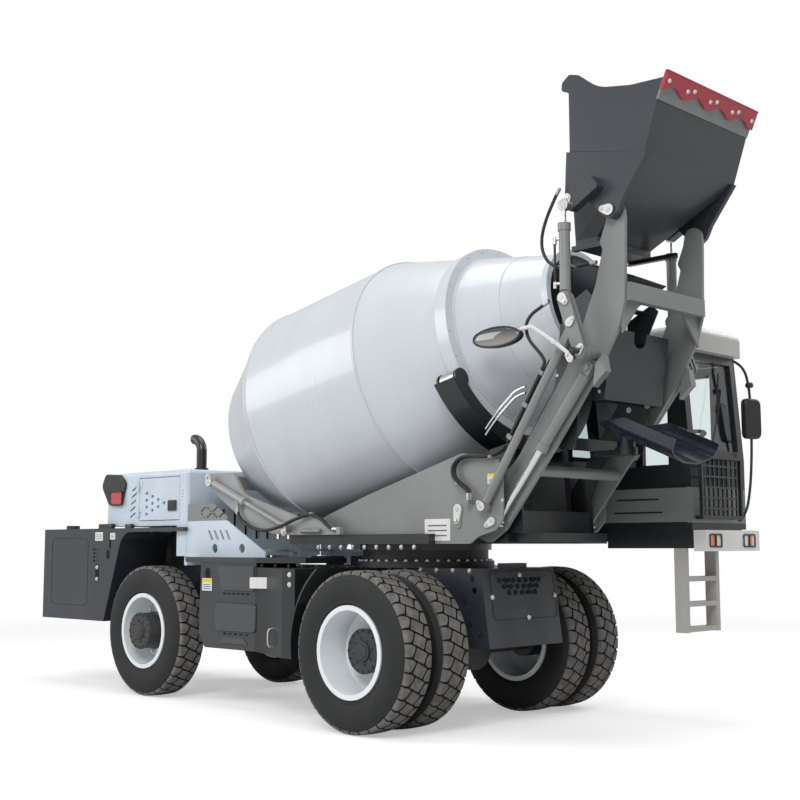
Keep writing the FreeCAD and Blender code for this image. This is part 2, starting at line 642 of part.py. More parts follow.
def save_chassis():
    """Deep front box with a nose panel, two long rear rails, cross members and the pads under engine and axles."""
    back = FRAME_BACK_X
    web_line = [(FRAME_NOSE_TOP_X, FRAME_TOP), (FRAME_NOSE_BOTTOM_X, FRAME_BOTTOM), (190, FRAME_BOTTOM)]
    web_line += [(150, TYRE_R + AXLE_R + 20), (-150, TYRE_R + AXLE_R + 20), (-190, FRAME_BOTTOM)]
    web_line += [(back + 260, FRAME_BOTTOM), (back, RAIL_BOTTOM), (back, FRAME_TOP)]
    web = plate_y(web_line, FRAME_Y - FRAME_T, FRAME_Y)
    for x, z in LASHING_HOLES:
        web = web.cut(pin_y(x, z, LASHING_R, FRAME_Y - 2 * FRAME_T, FRAME_Y + 1))
    nose_line = [(FRAME_NOSE_TOP_X, FRAME_TOP), (FRAME_NOSE_BOTTOM_X, FRAME_BOTTOM)]
    nose_line += [(FRAME_NOSE_BOTTOM_X - FRAME_T, FRAME_BOTTOM), (FRAME_NOSE_TOP_X - FRAME_T, FRAME_TOP)]
    nose = plate_y(nose_line, -FRAME_Y, FRAME_Y)
    for row, count in enumerate((7, 6, 5)):
        for i in range(count):
            y = (i - (count - 1) / 2) * 58
            nose = nose.cut(rod((FRAME_NOSE_TOP_X - 60, y, 1010 - 46 * row), (FRAME_NOSE_BOTTOM_X + 60, y, 1010 - 46 * row), 12))
    top = box(back, FRAME_NOSE_TOP_X, -FRAME_Y, FRAME_Y, FRAME_TOP - FRAME_T, FRAME_TOP)
    bulkhead = box(back, back + FRAME_T, -FRAME_Y, FRAME_Y, RAIL_BOTTOM, FRAME_TOP)
    stop = box(FRAME_NOSE_TOP_X - 90, FRAME_NOSE_TOP_X - 20, -120, 120, FRAME_TOP, FRAME_TOP + 34)
    rail = box(RAIL_END_X, back, RAIL_Y - RAIL_W, RAIL_Y, RAIL_BOTTOM, FRAME_TOP)
    crosses = [box(x, x + 110, -RAIL_Y, RAIL_Y, RAIL_BOTTOM + CROSS_RISE, FRAME_TOP - CROSS_RISE)
               for x in (RAIL_END_X, -3560, -2380, -1700)]
    save("chassis_frame", joined(top, web, mirrored(web), nose, bulkhead, stop, rail, mirrored(rail), *crosses))


def save_slew_base():
    """Fixed ring of the slewing bearing on the chassis, with its seat."""
    base = rod((SLEW_X, 0, FRAME_TOP), (SLEW_X, 0, FRAME_TOP + SLEW_BASE_H), SLEW_R)
    race = rod((SLEW_X, 0, FRAME_TOP), (SLEW_X, 0, SLEW_TOP - GAP), SLEW_R - 45)
    bore = rod((SLEW_X, 0, FRAME_TOP - 1), (SLEW_X, 0, SLEW_TOP + 1), SLEW_R - 150)
    ring = joined(base, race).cut(bore)
    save("slew_ring", ring)


def save_driveline():
    """Transfer gearbox between the axles with its shafts to both axles."""
    gearbox = box(-1700, -1300, -150, 150, 560, RAIL_BOTTOM + CROSS_RISE)
    front_shaft = rod((-1300, 0, 660), (-229, 0, TYRE_R), 42)
    rear_shaft = rod((-1700, 0, 660), (REAR_X + 214, 0, TYRE_R), 42)
    front_nose = rod((-228, 0, TYRE_R), (-300, 0, TYRE_R + 9), 70)
    rear_nose = rod((REAR_X + 217, 0, TYRE_R), (REAR_X + 280, 0, TYRE_R + 12), 70)
    keep = box(-2700, -230, -400, 400, 400, 1000).cut(box(-2700, REAR_X + 215.5, -400, 400, 400, 1000))
    drive = joined(gearbox, front_shaft, rear_shaft, front_nose, rear_nose).common(keep)
    save("driveline", drive.removeSplitter())


def save_engine():
    """Engine: one plain block between the hood's sides, on the rails."""
    save("engine_block", box(ENGINE_X0, ENGINE_X1, -ENGINE_Y, ENGINE_Y, FRAME_TOP, ENGINE_Z1))


def save_hood():
    """Engine hood: a shell with rounded top edges, open below, with its doors' openings and a grilled front."""
    side_line = [(HOOD_BACK_X, HOOD_BACK_Z), (HOOD_BACK_X, HOOD_TOP - 40, 120), (HOOD_BACK_X + 160, HOOD_TOP, 160)]
    side_line += [(HOOD_FRONT_X, HOOD_TOP, 40), (HOOD_FRONT_X, HOOD_BOTTOM)]
    side_line += [(-2560, HOOD_BOTTOM), (-2560, HOOD_BACK_Z)]
    outer = plate_y(side_line, -HOOD_Y, HOOD_Y)
    top_edges = [e for e in outer.Edges if abs(e.CenterOfMass.y) > HOOD_Y - 1 and e.CenterOfMass.z > HOOD_TOP - 30]
    outer = outer.makeFillet(HOOD_ROUND / 2, top_edges)
    t = HOOD_T
    inner = box(HOOD_BACK_X + t, HOOD_FRONT_X - t, t - HOOD_Y, HOOD_Y - t, HOOD_BOTTOM - 1, HOOD_TOP - 2 * t - 40)
    hood = outer.cut(inner)
    door_hole = box(HOOD_DOOR_X0 - SLACK, HOOD_DOOR_X1 + SLACK, HOOD_Y - t - 1, HOOD_Y + 1,
                    HOOD_DOOR_Z0 - SLACK, HOOD_DOOR_Z1 + SLACK)
    hood = hood.cut(door_hole).cut(mirrored(door_hole))
    for i in range(9):
        y = (i - 4) * 120
        hood = hood.cut(box(HOOD_FRONT_X - t - 1, HOOD_FRONT_X + 1, y - 22, y + 22, 1310, 1560))
    for x, z in HOOD_SLOTS:
        low = [(x, z), (x + SLOT_RUN, z + SLOT_RISE)]
        high = [(x + SLOT_RUN, z + SLOT_RISE + SLOT_H), (x, z + SLOT_H)]
        slot = plate_y(low + high, HOOD_Y - t - 1, HOOD_Y + 1)
        hood = hood.cut(slot).cut(mirrored(slot))
    feet = box(HOOD_FRONT_X - t - 40, HOOD_FRONT_X - t, RAIL_Y - RAIL_W, HOOD_Y - t, FRAME_TOP, FRAME_TOP + 110)
    back_foot = box(HOOD_BACK_X, HOOD_BACK_X + 40, RAIL_Y - RAIL_W, RAIL_Y, FRAME_TOP, HOOD_BACK_Z + 40)
    halves = [hinge_pair(HOOD_DOOR_X0 - SLACK / 2, HOOD_Y, z, 1)[0] for z in HOOD_HINGES]
    halves += [mirrored(half) for half in halves]
    save("engine_hood", joined(hood, feet, mirrored(feet), back_foot, mirrored(back_foot), *halves))


def save_hood_doors():
    """Side doors of the hood, with a triangle of holes, hinged along their rear edge."""
    door = box(HOOD_DOOR_X0, HOOD_DOOR_X1, HOOD_Y - HOOD_T + 4, HOOD_Y, HOOD_DOOR_Z0, HOOD_DOOR_Z1)
    across, upwards = DOOR_HOLE_STEP
    for column in range(4):
        x = DOOR_HOLE_X + across * column
        for i in range(4 - column):
            z = DOOR_HOLE_Z + upwards * (i - (3 - column) / 2)
            hole = [(x - 22, z - 4), (x - 10, z - 15), (x + 12, z - 15), (x + 22, z + 4), (x + 10, z + 15), (x - 12, z + 15)]
            door = door.cut(plate_y(hole, HOOD_Y - 60, HOOD_Y + 1))
    latch = box(LATCH_BOX[0], LATCH_BOX[1], HOOD_Y, HOOD_Y + 8, LATCH_BOX[2], LATCH_BOX[3])
    halves = [hinge_pair(HOOD_DOOR_X0 - SLACK / 2, HOOD_Y, z, 1)[1] for z in HOOD_HINGES]
    door = joined(door, latch, *halves)
    save("hood_door_left", door)
    save("hood_door_right", mirrored(door))


def save_tail_lamps():
    """Lamp housings wrapped round the hood's rear corners."""
    line = [(-3690, 1780, 60), (-3630, 1890, 60), (-3400, 1876, 50), (-3312, 1800, 50), (-3378, 1604, 40), (-3570, 1612, 60)]
    shell = plate_y(line, HOOD_Y - 190, HOOD_Y + LAMP_OUT)
    shell = shell.cut(box(HOOD_BACK_X, HOOD_FRONT_X, 0, HOOD_Y, HOOD_BOTTOM, HOOD_TOP + 40))
    save("tail_lamps", *pair(shell))


def save_fairings():
    """Slotted side fairings ahead of the hood, with a raised grille of diamonds, each on two brackets from the rail."""
    line = [(HOOD_FRONT_X + SLACK, BOX_TOP + LIP_T), (HOOD_FRONT_X + SLACK, GRILLE_TOP), (GRILLE_KNEE_X, GRILLE_TOP, 20)]
    line += [(FAIRING_KNEE_X, GRILLE_LOW), (FAIRING_KNEE_X, FAIRING_TOP)]
    line += [(FAIRING_FRONT_X, FAIRING_LOW, 30), (FAIRING_FRONT_X, BOX_TOP + LIP_T)]
    panel = plate_y(line, FAIRING_Y - FAIRING_T, FAIRING_Y)
    for i in range(4):
        x = FAIRING_SLOT_X + FAIRING_SLOT_STEP * i
        slot = [(x - 14, 1374), (x + 14, 1374), (x + 62, 1298), (x + 34, 1298)]
        panel = panel.cut(plate_y(slot, FAIRING_Y - 40, FAIRING_Y + 1))
    for x in (-2039, -1689):
        panel = panel.cut(pin_y(x, 1228, FAIRING_HOLE_R, FAIRING_Y - 40, FAIRING_Y + 1))
    for x in (-2160, -2000):
        for side_x in (-1, 1):
            for side_z in (-1, 1):
                bar = [(0, 46), (16, 46), (66, 12), (66, 4), (50, 4), (0, 34)]
                bar = [(x + side_x * (8 + across), 1520 + side_z * up) for across, up in bar]
                panel = panel.cut(plate_y(bar, FAIRING_Y - 40, FAIRING_Y + 1))
    brackets = [box(x, x + 60, RAIL_Y, FAIRING_Y - FAIRING_T, FRAME_TOP + 110, FRAME_TOP + 130) for x in (-2300, -1600)]
    posts = [box(x, x + 60, RAIL_Y - 20, RAIL_Y, FRAME_TOP, FRAME_TOP + 130) for x in (-2300, -1600)]
    save("hood_fairings", *pair(joined(panel, *brackets, *posts)))


def save_exhaust():
    """Exhaust pipe: up through the hood, then bent back."""
    bend = 110.0
    base = Vector(EXHAUST_X, EXHAUST_Y, HOOD_TOP)
    knee = Vector(EXHAUST_X, EXHAUST_Y, EXHAUST_TOP - bend)
    turn = math.sqrt(0.5) * bend
    middle = knee + Vector(-bend + turn, 0, turn)
    end = knee + Vector(-bend, 0, bend)
    path = Part.Wire([Part.LineSegment(base, knee).toShape(), Part.Arc(knee, middle, end).toShape()])
    ends = [Part.Wire(Part.makeCircle(r, base, Vector(0, 0, 1))) for r in (EXHAUST_R, EXHAUST_R - 5)]
    outer, inner = [path.makePipeShell([ring], True, False) for ring in ends]
    collar = rod((EXHAUST_X, EXHAUST_Y, HOOD_TOP), (EXHAUST_X, EXHAUST_Y, HOOD_TOP + 40), EXHAUST_R + 16)
    save("exhaust_pipe", joined(outer, collar).cut(inner))


def save_tanks():
    """Rear tanks with their rounded wheel arches and shelves, and the counterweight between them."""
    arch_r = 175.0
    side = [(TANK_BACK_X, TANK_BOTTOM), (TANK_BACK_X, TANK_TOP), (SHELF_FRONT_X, TANK_TOP)]
    side += [(SHELF_FRONT_X, TANK_TOP - SHELF_T), (TANK_HEAD_X, TANK_TOP - SHELF_T, arch_r), (TANK_FOOT_X, TANK_BOTTOM)]
    inner_y = RAIL_Y + EYE_GAP
    tank = plate_y(side, inner_y, TANK_Y)
    slot_z = TANK_TOP - 190
    for i in range(4):
        z = slot_z - 34 * i
        tank = tank.cut(box(TANK_FOOT_X - 190, TANK_FOOT_X - 90, TANK_Y - 12, TANK_Y + 1, z, z + 13))
    cap = rod((-4380, 640, TANK_TOP), (-4380, 640, TANK_TOP + 34), 62)
    shelf_cut = box(HOOD_BACK_X - SLACK, HOOD_FRONT_X + 40, 0, HOOD_Y + SLACK, TANK_TOP - SHELF_T - 1, TANK_TOP + 1)
    tank = joined(tank, cap).cut(shelf_cut)
    weight = box(TANK_BACK_X, RAIL_END_X, -inner_y, inner_y, 640, TANK_TOP - 25)
    block = box(RAIL_END_X, -3740, EYE_GAP - RAIL_Y + RAIL_W, RAIL_Y - RAIL_W - EYE_GAP, FRAME_TOP - 55, TANK_TOP - 25)
    top = box(RAIL_END_X, -3740, -inner_y, inner_y, FRAME_TOP, TANK_TOP - 25)
    save("rear_tanks", joined(tank, weight, top, block, mirrored(tank)))


def save_side_boxes():
    """Side boxes between the axles, which flare out into the front fenders."""
    z1 = BOX_TOP
    r = TYRE_R + FENDER_GAP
    body_line = [(BOX_BACK_X, z1), (BOX_BACK_X - 20, 560, 30), (BOX_BACK_X + 60, BOX_BOTTOM, 30), (BOX_FRONT_X, BOX_BOTTOM)]
    body_line += [(BOX_FRONT_X, z1)]
    body = plate_y(body_line, BOX_INNER_Y, BOX_Y)
    lip = box(BOX_LIP_X, FENDER_X - 60, BOX_INNER_Y, BOX_Y + 8, z1, z1 + LIP_T)
    shelf = box(FRAME_BACK_X + 60, FENDER_X - 100, FRAME_Y, BOX_INNER_Y + 20, FRAME_TOP - 140, FRAME_TOP - 40)
    flare_line = [(BOX_FRONT_X, BOX_INNER_Y), (BOX_FRONT_X, BOX_Y), (FENDER_X - 60, FENDER_Y), (40 - r, FENDER_Y)]
    flare_line += [(40 - r, BOX_INNER_Y)]
    flare = plate_z(flare_line, BOX_BOTTOM, FRAME_TOP - 4)
    flare = flare.cut(pin_y(0, TYRE_R, r, 0, FENDER_Y + 1))
    arch = pin_y(0, TYRE_R, r + FENDER_T, BOX_INNER_Y, FENDER_Y).cut(pin_y(0, TYRE_R, r, 0, FENDER_Y + 1))
    arch = arch.common(box(FENDER_X - 20, -330, 0, FENDER_Y + 1, BOX_BOTTOM, FRAME_TOP - 4))
    stay = box(-1290, -1230, RAIL_Y, BOX_INNER_Y + 20, 800, 900)
    save("side_boxes", *pair(joined(body, lip, flare, arch, shelf, stay)))

# ---------------------------------------------------------------- turntable


def save_deck():
    """Turning deck: thick plate with a narrow nose, its skirt, the bearing's turning ring and the cab's beams."""
    plate = box(DECK_BACK_X, DECK_WAIST_X, -DECK_Y, DECK_Y, DECK_Z + 45, DECK_TOP)
    nose = box(DECK_WAIST_X, DECK_FRONT_X, -DECK_NOSE_Y, DECK_NOSE_Y, DECK_Z + 45, DECK_TOP)
    ring = rod((SLEW_X, 0, DECK_Z), (SLEW_X, 0, DECK_Z + 45), SLEW_R - 20)
    ring = ring.cut(rod((SLEW_X, 0, DECK_Z - 1), (SLEW_X, 0, DECK_Z + 60), SLEW_R - 150))
    nose_box = box(DECK_FRONT_X, DECK_FRONT_X + DECK_TIP, -DECK_NOSE_Y + 60, DECK_NOSE_Y - 60, DECK_Z + 55, DECK_TOP)
    beams = [box(x, x + 150, DECK_Y, CAB_Y1 - 60, DECK_Z + 45, DECK_TOP) for x in (-60, 90)]
    seat = box(-60, 240, CAB_Y0, CAB_Y1 - 60, DECK_TOP, CAB_FLOOR)
    save("turntable_deck", joined(plate, nose, ring, nose_box, seat, *beams))


def save_side_frames():
    """Side plates of the turntable, each with a rear web and a front bracket that holds the arm's and cylinder's pins."""
    line = [(-1213, DECK_TOP), (-1150, 1372), (-870, 1477, 300), (-436, 1616), (SIDE_TOP_X, SIDE_TOP_Z)]
    line += [(820, SIDE_TOP_Z - 30, 60), (853, 1682), (851, 1418, 30), (781, 1346, 30), (640, DECK_TOP - 20)]
    line += [(560, DECK_TOP - 70, 30), (DECK_WAIST_X - 40, DECK_TOP - 70), (DECK_WAIST_X - 40, DECK_TOP)]
    plate = plate_y(line, SIDE_Y, SIDE_Y + SIDE_T)
    notch = box(DECK_WAIST_X - 60, DECK_WAIST_X, SIDE_Y - 1, SIDE_Y + SIDE_T + 1, DECK_TOP - 90, DECK_TOP)
    plate = plate.cut(notch)
    flange = plate_y([(-1213, DECK_TOP), (-1213, DECK_TOP + 12), (DECK_WAIST_X, DECK_TOP + 12), (DECK_WAIST_X, DECK_TOP)],
                     SIDE_Y - 40, SIDE_Y)
    ribs = [box(x, x + 14, SIDE_Y - 60, SIDE_Y, DECK_TOP, 1560) for x in (-60, 140)]
    pivot = pin_y(ARM_X, ARM_Z, ARM_PIN_R, ARM_Y - 20, SIDE_Y + SIDE_T + 6)
    keeper = plate_y([(ARM_X - 34, ARM_Z + 50, 30), (ARM_X + 36, ARM_Z + 50, 30), (ARM_X + 20, ARM_Z - 96, 22),
                      (ARM_X - 36, ARM_Z - 96, 22)], SIDE_Y + SIDE_T, SIDE_Y + SIDE_T + 8)
    lift_boss = pin_y(LIFT_FOOT_X, LIFT_FOOT_Z, EYE_R - 8, LIFT_Y + LIFT_ROD_R + EYE_GAP, SIDE_Y + SIDE_T + 8)
    tie_boss = pin_y(TIE_X, TIE_Z, TIE_R, SIDE_Y + SIDE_T, LINK_Y - LINK_T / 2 - EYE_GAP)
    tie_pin = pin_y(TIE_X, TIE_Z, PIN_R, SIDE_Y + SIDE_T, LINK_Y + LINK_T / 2 + 12)
    tie_head = pin_y(TIE_X, TIE_Z, PIN_R + 14, LINK_Y + LINK_T / 2 + EYE_GAP, LINK_Y + LINK_T / 2 + 12)
    left, right = pair(joined(plate, flange, pivot, keeper, lift_boss, tie_boss, tie_pin, tie_head, *ribs))
    foot = Vector(*LOOP_HOSE[-1])
    outer = foot.y - HOSE_SPACING - HOSE_R - 5
    socket = box(foot.x - 16, foot.x + 16, outer, -SIDE_Y - SIDE_T, foot.z - 26, foot.z)
    rest = box(782, 806, outer, -SIDE_Y - SIDE_T, 1824, 1843)
    rest = rest.cut(joined(*loop_hoses(HOSE_R + GAP)))
    save("side_frames", left, joined(right, socket, rest))


def save_tail_support():
    """Curved plates that carry the drum's tail, with their cylinders, cross beam and the drive's pedestal."""
    line = [(-2225, 1760, 40), (-2235, 1838), (-1900, 1838, 30), (-1760, 1660, 200), (-1420, 1560, 200), (-1100, 1470, 60)]
    line += [(HUMP_TOP[0] - 60, HUMP_TOP[1] - 12, 60), (*HUMP_TOP, 90), (HUMP_END_X - 40, 1352, 40), (HUMP_END_X, DECK_TOP)]
    line += [(-1230, DECK_TOP), (-1400, 1345, 120), (-1660, 1410, 200)]
    line += [(-1850, 1505, 200), (-2075, 1640, 200)]
    plate = plate_y(line, TAIL_Y, TAIL_Y + TAIL_T)
    foot = box(-1200, HUMP_END_X - 60, DECK_Y - 40, TAIL_Y, DECK_TOP, DECK_TOP + 30)
    foot = foot.cut(box(-1300, -1000, SIDE_Y - 1, SIDE_Y + SIDE_T + 1, DECK_TOP, DECK_TOP + 80))
    beam = box(-2225, -2125, -TAIL_Y, TAIL_Y, 1716, 1820)
    drive_mid = DRUM_ORIGIN + DRUM_DIR * (DRUM_TAIL - DRUM_DISH - 90)
    pedestal = plate_x([(-230, 1820), (230, 1820), (150, drive_mid.z), (-150, drive_mid.z)], -2225, -2185)
    pedestal = pedestal.cut(rod(drive_mid - DRUM_DIR * 400, drive_mid + DRUM_DIR * 400, DRIVE_R))
    foot_pin = Vector(TAIL_FOOT_X, 0, TAIL_FOOT_Z + 20)
    head_pin = Vector(TAIL_PIN_X, 0, TAIL_PIN_Z)
    along = (foot_pin - head_pin).normalize()
    out = Vector(0, TAIL_Y + TAIL_T + 30, 0)
    barrel = rod(head_pin + out + along * 40, head_pin + out + along * 440, 28)
    collar = rod(head_pin + out + along * 430, head_pin + out + along * 480, 33)
    bar = rod(head_pin + out + along * 470, foot_pin + out, 17)
    eyes = [pin_y(p.x, p.z, 38, TAIL_Y + TAIL_T, TAIL_Y + TAIL_T + 58) for p in (foot_pin, head_pin)]
    side = joined(plate, foot, barrel, collar, bar, *eyes)
    port_x = TAIL_HOSE[0][0]
    port_top = head_pin.z + (port_x - head_pin.x) * along.z / along.x
    port = rod((port_x, TAIL_HOSE[0][1], port_top), TAIL_HOSE[0], TAIL_HOSE_R + 3)
    clip = box(HUMP_TOP[0] - 16, HUMP_TOP[0] + 16, -TAIL_Y - TAIL_T - 24, -TAIL_Y - TAIL_T, HUMP_TOP[1] - 28, HUMP_TOP[1] + 12)
    clip = clip.cut(tube(TAIL_HOSE, TAIL_HOSE_R + GAP))
    end = Vector(*TAIL_HOSE[-1])
    socket = box(end.x, end.x + 36, end.y - 18, -TAIL_Y - TAIL_T, end.z - 34, end.z + 18)
    save("tail_support", joined(side, mirrored(side), beam, pedestal, port, clip, socket))


def loop_hoses(radius):
    """Two hoses side by side, in a loop beside the side frame."""
    return [tube([(x, y - shift, z) for x, y, z in LOOP_HOSE], radius) for shift in (0, HOSE_SPACING)]


def save_deck_hoses():
    """Hoses that stay on the turntable: one round the drum's tail support, two in a loop beside the side frame."""
    save("deck_hoses", tube(TAIL_HOSE, TAIL_HOSE_R), *loop_hoses(HOSE_R))


def drum_profile(inset):
    """The drum's outline as (along, radius) points, from the tail's middle to the mouth, moved inwards by inset."""
    tail = [(DRUM_TAIL - DRUM_DISH * (1 - f * f) + inset, DRUM_TAIL_R * f) for f in (0, 0.3, 0.55, 0.8)]
    tail.append((DRUM_TAIL + inset / 3, DRUM_TAIL_R - inset))
    body = [(0, DRUM_SEAM_R - inset), (DRUM_BODY, DRUM_BODY_R - inset)]
    return tail + body + [(DRUM_END, MOUTH_R - inset)]


def save_drum():
    """Drum: a hollow shell with a dished tail, track ring, mouth ring and two flat seams."""
    profile = drum_profile(0) + list(reversed(drum_profile(DRUM_T)))
    shell = turned(profile, DRUM_ORIGIN, DRUM_DIR)
    half = DRUM_RING_W / 2
    slope = DRUM_CONE_SLOPE * half
    track = [(DRUM_RING - half, RING_R0 + slope - 2), (DRUM_RING - half, DRUM_RING_R), (DRUM_RING + half, DRUM_RING_R)]
    track += [(DRUM_RING + half, RING_R0 - slope - 2)]
    mouth = [(DRUM_END - 50, MOUTH_R - 2), (DRUM_END - 50, MOUTH_R + 34), (DRUM_END, MOUTH_R + 34), (DRUM_END, MOUTH_R - 2)]
    seams = [turned([(s - 12, r - 3), (s - 12, r + 4), (s + 12, r + 4), (s + 12, r - 3)], DRUM_ORIGIN, DRUM_DIR)
             for s, r in ((0, DRUM_SEAM_R), (DRUM_BODY, DRUM_BODY_R))]
    rings = [turned(points, DRUM_ORIGIN, DRUM_DIR) for points in (track, mouth)]
    save("drum_shell", joined(shell, *rings, *seams))


def save_drum_drive():
    """Drum gearbox and hydraulic motor behind the drum's tail."""
    tail = DRUM_TAIL - DRUM_DISH
    steps = [(tail - GAP, 0), (tail - GAP, 90), (tail - 40, 90), (tail - 40, DRIVE_R), (tail - 40 - DRIVE_LENGTH, DRIVE_R - 14)]
    steps += [(tail - 40 - DRIVE_LENGTH, MOTOR_R), (tail - 40 - DRIVE_LENGTH - MOTOR_LENGTH, MOTOR_R)]
    steps += [(tail - 40 - DRIVE_LENGTH - MOTOR_LENGTH, 0)]
    save("drum_drive", turned(steps, DRUM_ORIGIN, DRUM_DIR))


def save_rollers():
    """The two rollers that carry the drum's track ring."""
    half = DRUM_DIR * (ROLLER_W / 2)
    for side, sign in (("left", 1), ("right", -1)):
        centre = ROLLER_CENTRE + Vector(0, sign * ROLLER_Y, 0)
        roller = rod(centre - half, centre + half, ROLLER_R)
        save("drum_roller_" + side, roller.cut(rod(centre - half * 2, centre + half * 2, PIN_R + GAP)))


def save_saddle():
    """Curved saddle under the track ring: two arched plates, their webs, the roller axles and the legs."""
    inner = DRUM_RING_R + SADDLE_IN
    outer = DRUM_RING_R + SADDLE_OUT
    plates = []
    for s in (-SADDLE_HALF, SADDLE_HALF - SADDLE_T):
        plates.append([(DRUM_RING + s, inner), (DRUM_RING + s, outer), (DRUM_RING + s + SADDLE_T, outer),
                       (DRUM_RING + s + SADDLE_T, inner)])
    web = [(DRUM_RING - SADDLE_HALF, outer - SADDLE_T), (DRUM_RING - SADDLE_HALF, outer)]
    web += [(DRUM_RING + SADDLE_HALF, outer), (DRUM_RING + SADDLE_HALF, outer - SADDLE_T)]
    arch = joined(*[turned(points, DRUM_ORIGIN, DRUM_DIR) for points in plates + [web]])
    below = RING_CENTRE - DRUM_UP * ((ROLLER_REACH + 20) * math.sin(ROLLER_ANGLE))
    cutter = Part.makeBox(600, 2400, 1200, Vector(-300, -1200, -1200))
    cutter.Placement = FreeCAD.Placement(below, FreeCAD.Rotation(Vector(0, 1, 0), -DRUM_TILT))
    arch = arch.common(cutter)
    half = DRUM_DIR * SADDLE_HALF
    parts = [arch]
    for sign in (1, -1):
        centre = ROLLER_CENTRE + Vector(0, sign * ROLLER_Y, 0)
        parts.append(rod(centre - half, centre + half, PIN_R))
        for s in (-SADDLE_HALF, SADDLE_HALF - SADDLE_T):
            first = centre + DRUM_DIR * s
            parts.append(rod(first, first + DRUM_DIR * SADDLE_T, ROLLER_R + 4))
    low = RING_CENTRE - DRUM_UP * (outer - 4)
    legs = []
    for y in (-330, 270):
        legs.append(plate_y([(low.x - 80, low.z + 60), (low.x + 80, low.z + 90), (low.x + 120, DECK_TOP), (low.x - 260, DECK_TOP)],
                            y, y + 60))
    room = turned([(DRUM_RING - 400, 0), (DRUM_RING - 400, outer - SADDLE_T), (DRUM_RING + 400, outer - SADDLE_T),
                   (DRUM_RING + 400, 0)], DRUM_ORIGIN, DRUM_DIR)
    legs = [leg.cut(room) for leg in legs]
    save("drum_saddle", joined(*parts, *legs))


def flat_face(*corners):
    """A flat face through its corners."""
    return Part.Face(Part.makePolygon(list(corners) + [corners[0]]))


def prism(top, bottom, inset):
    """A block between two four-cornered rings. Each ring is (x0, x1, y, z0, z1): y is half its width, z is at x0 and x1."""
    rings = []
    for x0, x1, y, z0, z1 in (top, bottom):
        y -= inset
        fall = (z0 - z1) * inset / (x1 - x0)
        back = (x0 + inset, z0 - fall)
        front = (x1 - inset, z1 + fall)
        rings.append([Vector(x, side * y, z) for side, (x, z) in ((-1, back), (-1, front), (1, front), (1, back))])
    upper, lower = rings
    faces = [flat_face(*upper), flat_face(*lower)]
    for i in range(4):
        j = (i + 1) % 4
        faces.append(flat_face(upper[i], upper[j], lower[i]))
        faces.append(flat_face(upper[j], lower[j], lower[i]))
    solid = Part.Solid(Part.Shell(faces))
    if solid.Volume < 0:
        solid.reverse()
    return solid.removeSplitter()


def funnel(top, bottom, thickness):
    """A four-sided funnel open at both ends, between two rings as in prism()."""
    return prism(top, bottom, 0).cut(prism(top, bottom, thickness))


def save_mouth_frame():
    """Black portal in front of the drum: two leaning plates with a cross plate, which carry feed hopper and chute."""
    y1 = MOUTH_FRAME_Y
    y0 = y1 - MOUTH_FRAME_T
    line = [(620, DECK_TOP), (700, 1640, 80), (1160, 2290, 60), (1215, 2700), (1300, 2700), (1370, 2560), (1370, 2250, 60)]
    line += [(1310, 1870, 30), (1190, 1870, 30), (1165, 1970, 30), (960, 1810, 60), (860, 1560, 60), (880, DECK_TOP)]
    side = plate_y(line, y0, y1)
    cross = plate_y([(1300, 2215), (1370, 2250), (1370, 2236), (1310, 2200)], -y0, y0)
    low = box(760, 860, -y0, y0, DECK_TOP, DECK_TOP + 150)
    seat = CHUTE_SEAT_Z
    bearing = rod((CHUTE_PIVOT_X, 0, seat - 50), (CHUTE_PIVOT_X, 0, seat), 75)
    tongue = box(1230, CHUTE_PIVOT_X, -70, 70, seat - 50, seat - 15)
    tie = box(1230, 1250, -y0, y0, seat - 20, seat + 60)
    pin = rod((CHUTE_PIVOT_X, 0, seat - 1), (CHUTE_PIVOT_X, 0, seat + 40), 28)
    save("mouth_frame", joined(side, mirrored(side), cross, low, bearing, tongue, tie, pin))


def save_feed_hopper():
    """Feed hopper over the drum's mouth, with its spout, and the discharge plates below the mouth."""
    top = (FEED_X0, FEED_X1, FEED_Y, FEED_TOP_Z + 20, FEED_TOP_Z - 100)
    throat = (1150, 1300, 175, 2830, 2790)
    spout = (1010, 1080, 150, 2760, 2720)
    body = funnel(top, throat, FEED_T)
    pipe = funnel(throat, spout, FEED_T)
    ears = pair(plate_y([(1215, 2640), (1215, 2800), (1420, 2905), (1470, 2850), (1360, 2640)],
                        MOUTH_FRAME_Y - MOUTH_FRAME_T - 12, MOUTH_FRAME_Y - MOUTH_FRAME_T))
    strap = box(1300, 1380, -MOUTH_FRAME_Y + MOUTH_FRAME_T, MOUTH_FRAME_Y - MOUTH_FRAME_T, 2846, 2858)
    strap = strap.cut(prism(top, throat, 0))
    save("feed_hopper", joined(body, pipe, strap, *ears))


def save_discharge():
    """Discharge plates: an open hood under the drum's mouth that drops the concrete onto the chute."""
    y = MOUTH_FRAME_Y - MOUTH_FRAME_T - 2
    front = [(1560, 2640), (1575, 2640), (1508, 2180), (1493, 2180)]
    side = [(1375, 2640), (1575, 2640), (1508, 2180), (1430, 2180), (1375, 2260)]
    sides = pair(plate_y(side, y - 60, y - 48))
    front_plate = plate_y(front, -y + 48, y - 48)
    notch = plate_x([(-70, 2700), (70, 2700), (70, 2540, 60), (-70, 2540, 60)], 1400, 1700)
    lugs = pair(box(1340, 1400, y - 50, y + 2, 2400, 2470))
    save("discharge_hood", joined(front_plate.cut(notch), *sides, *lugs))


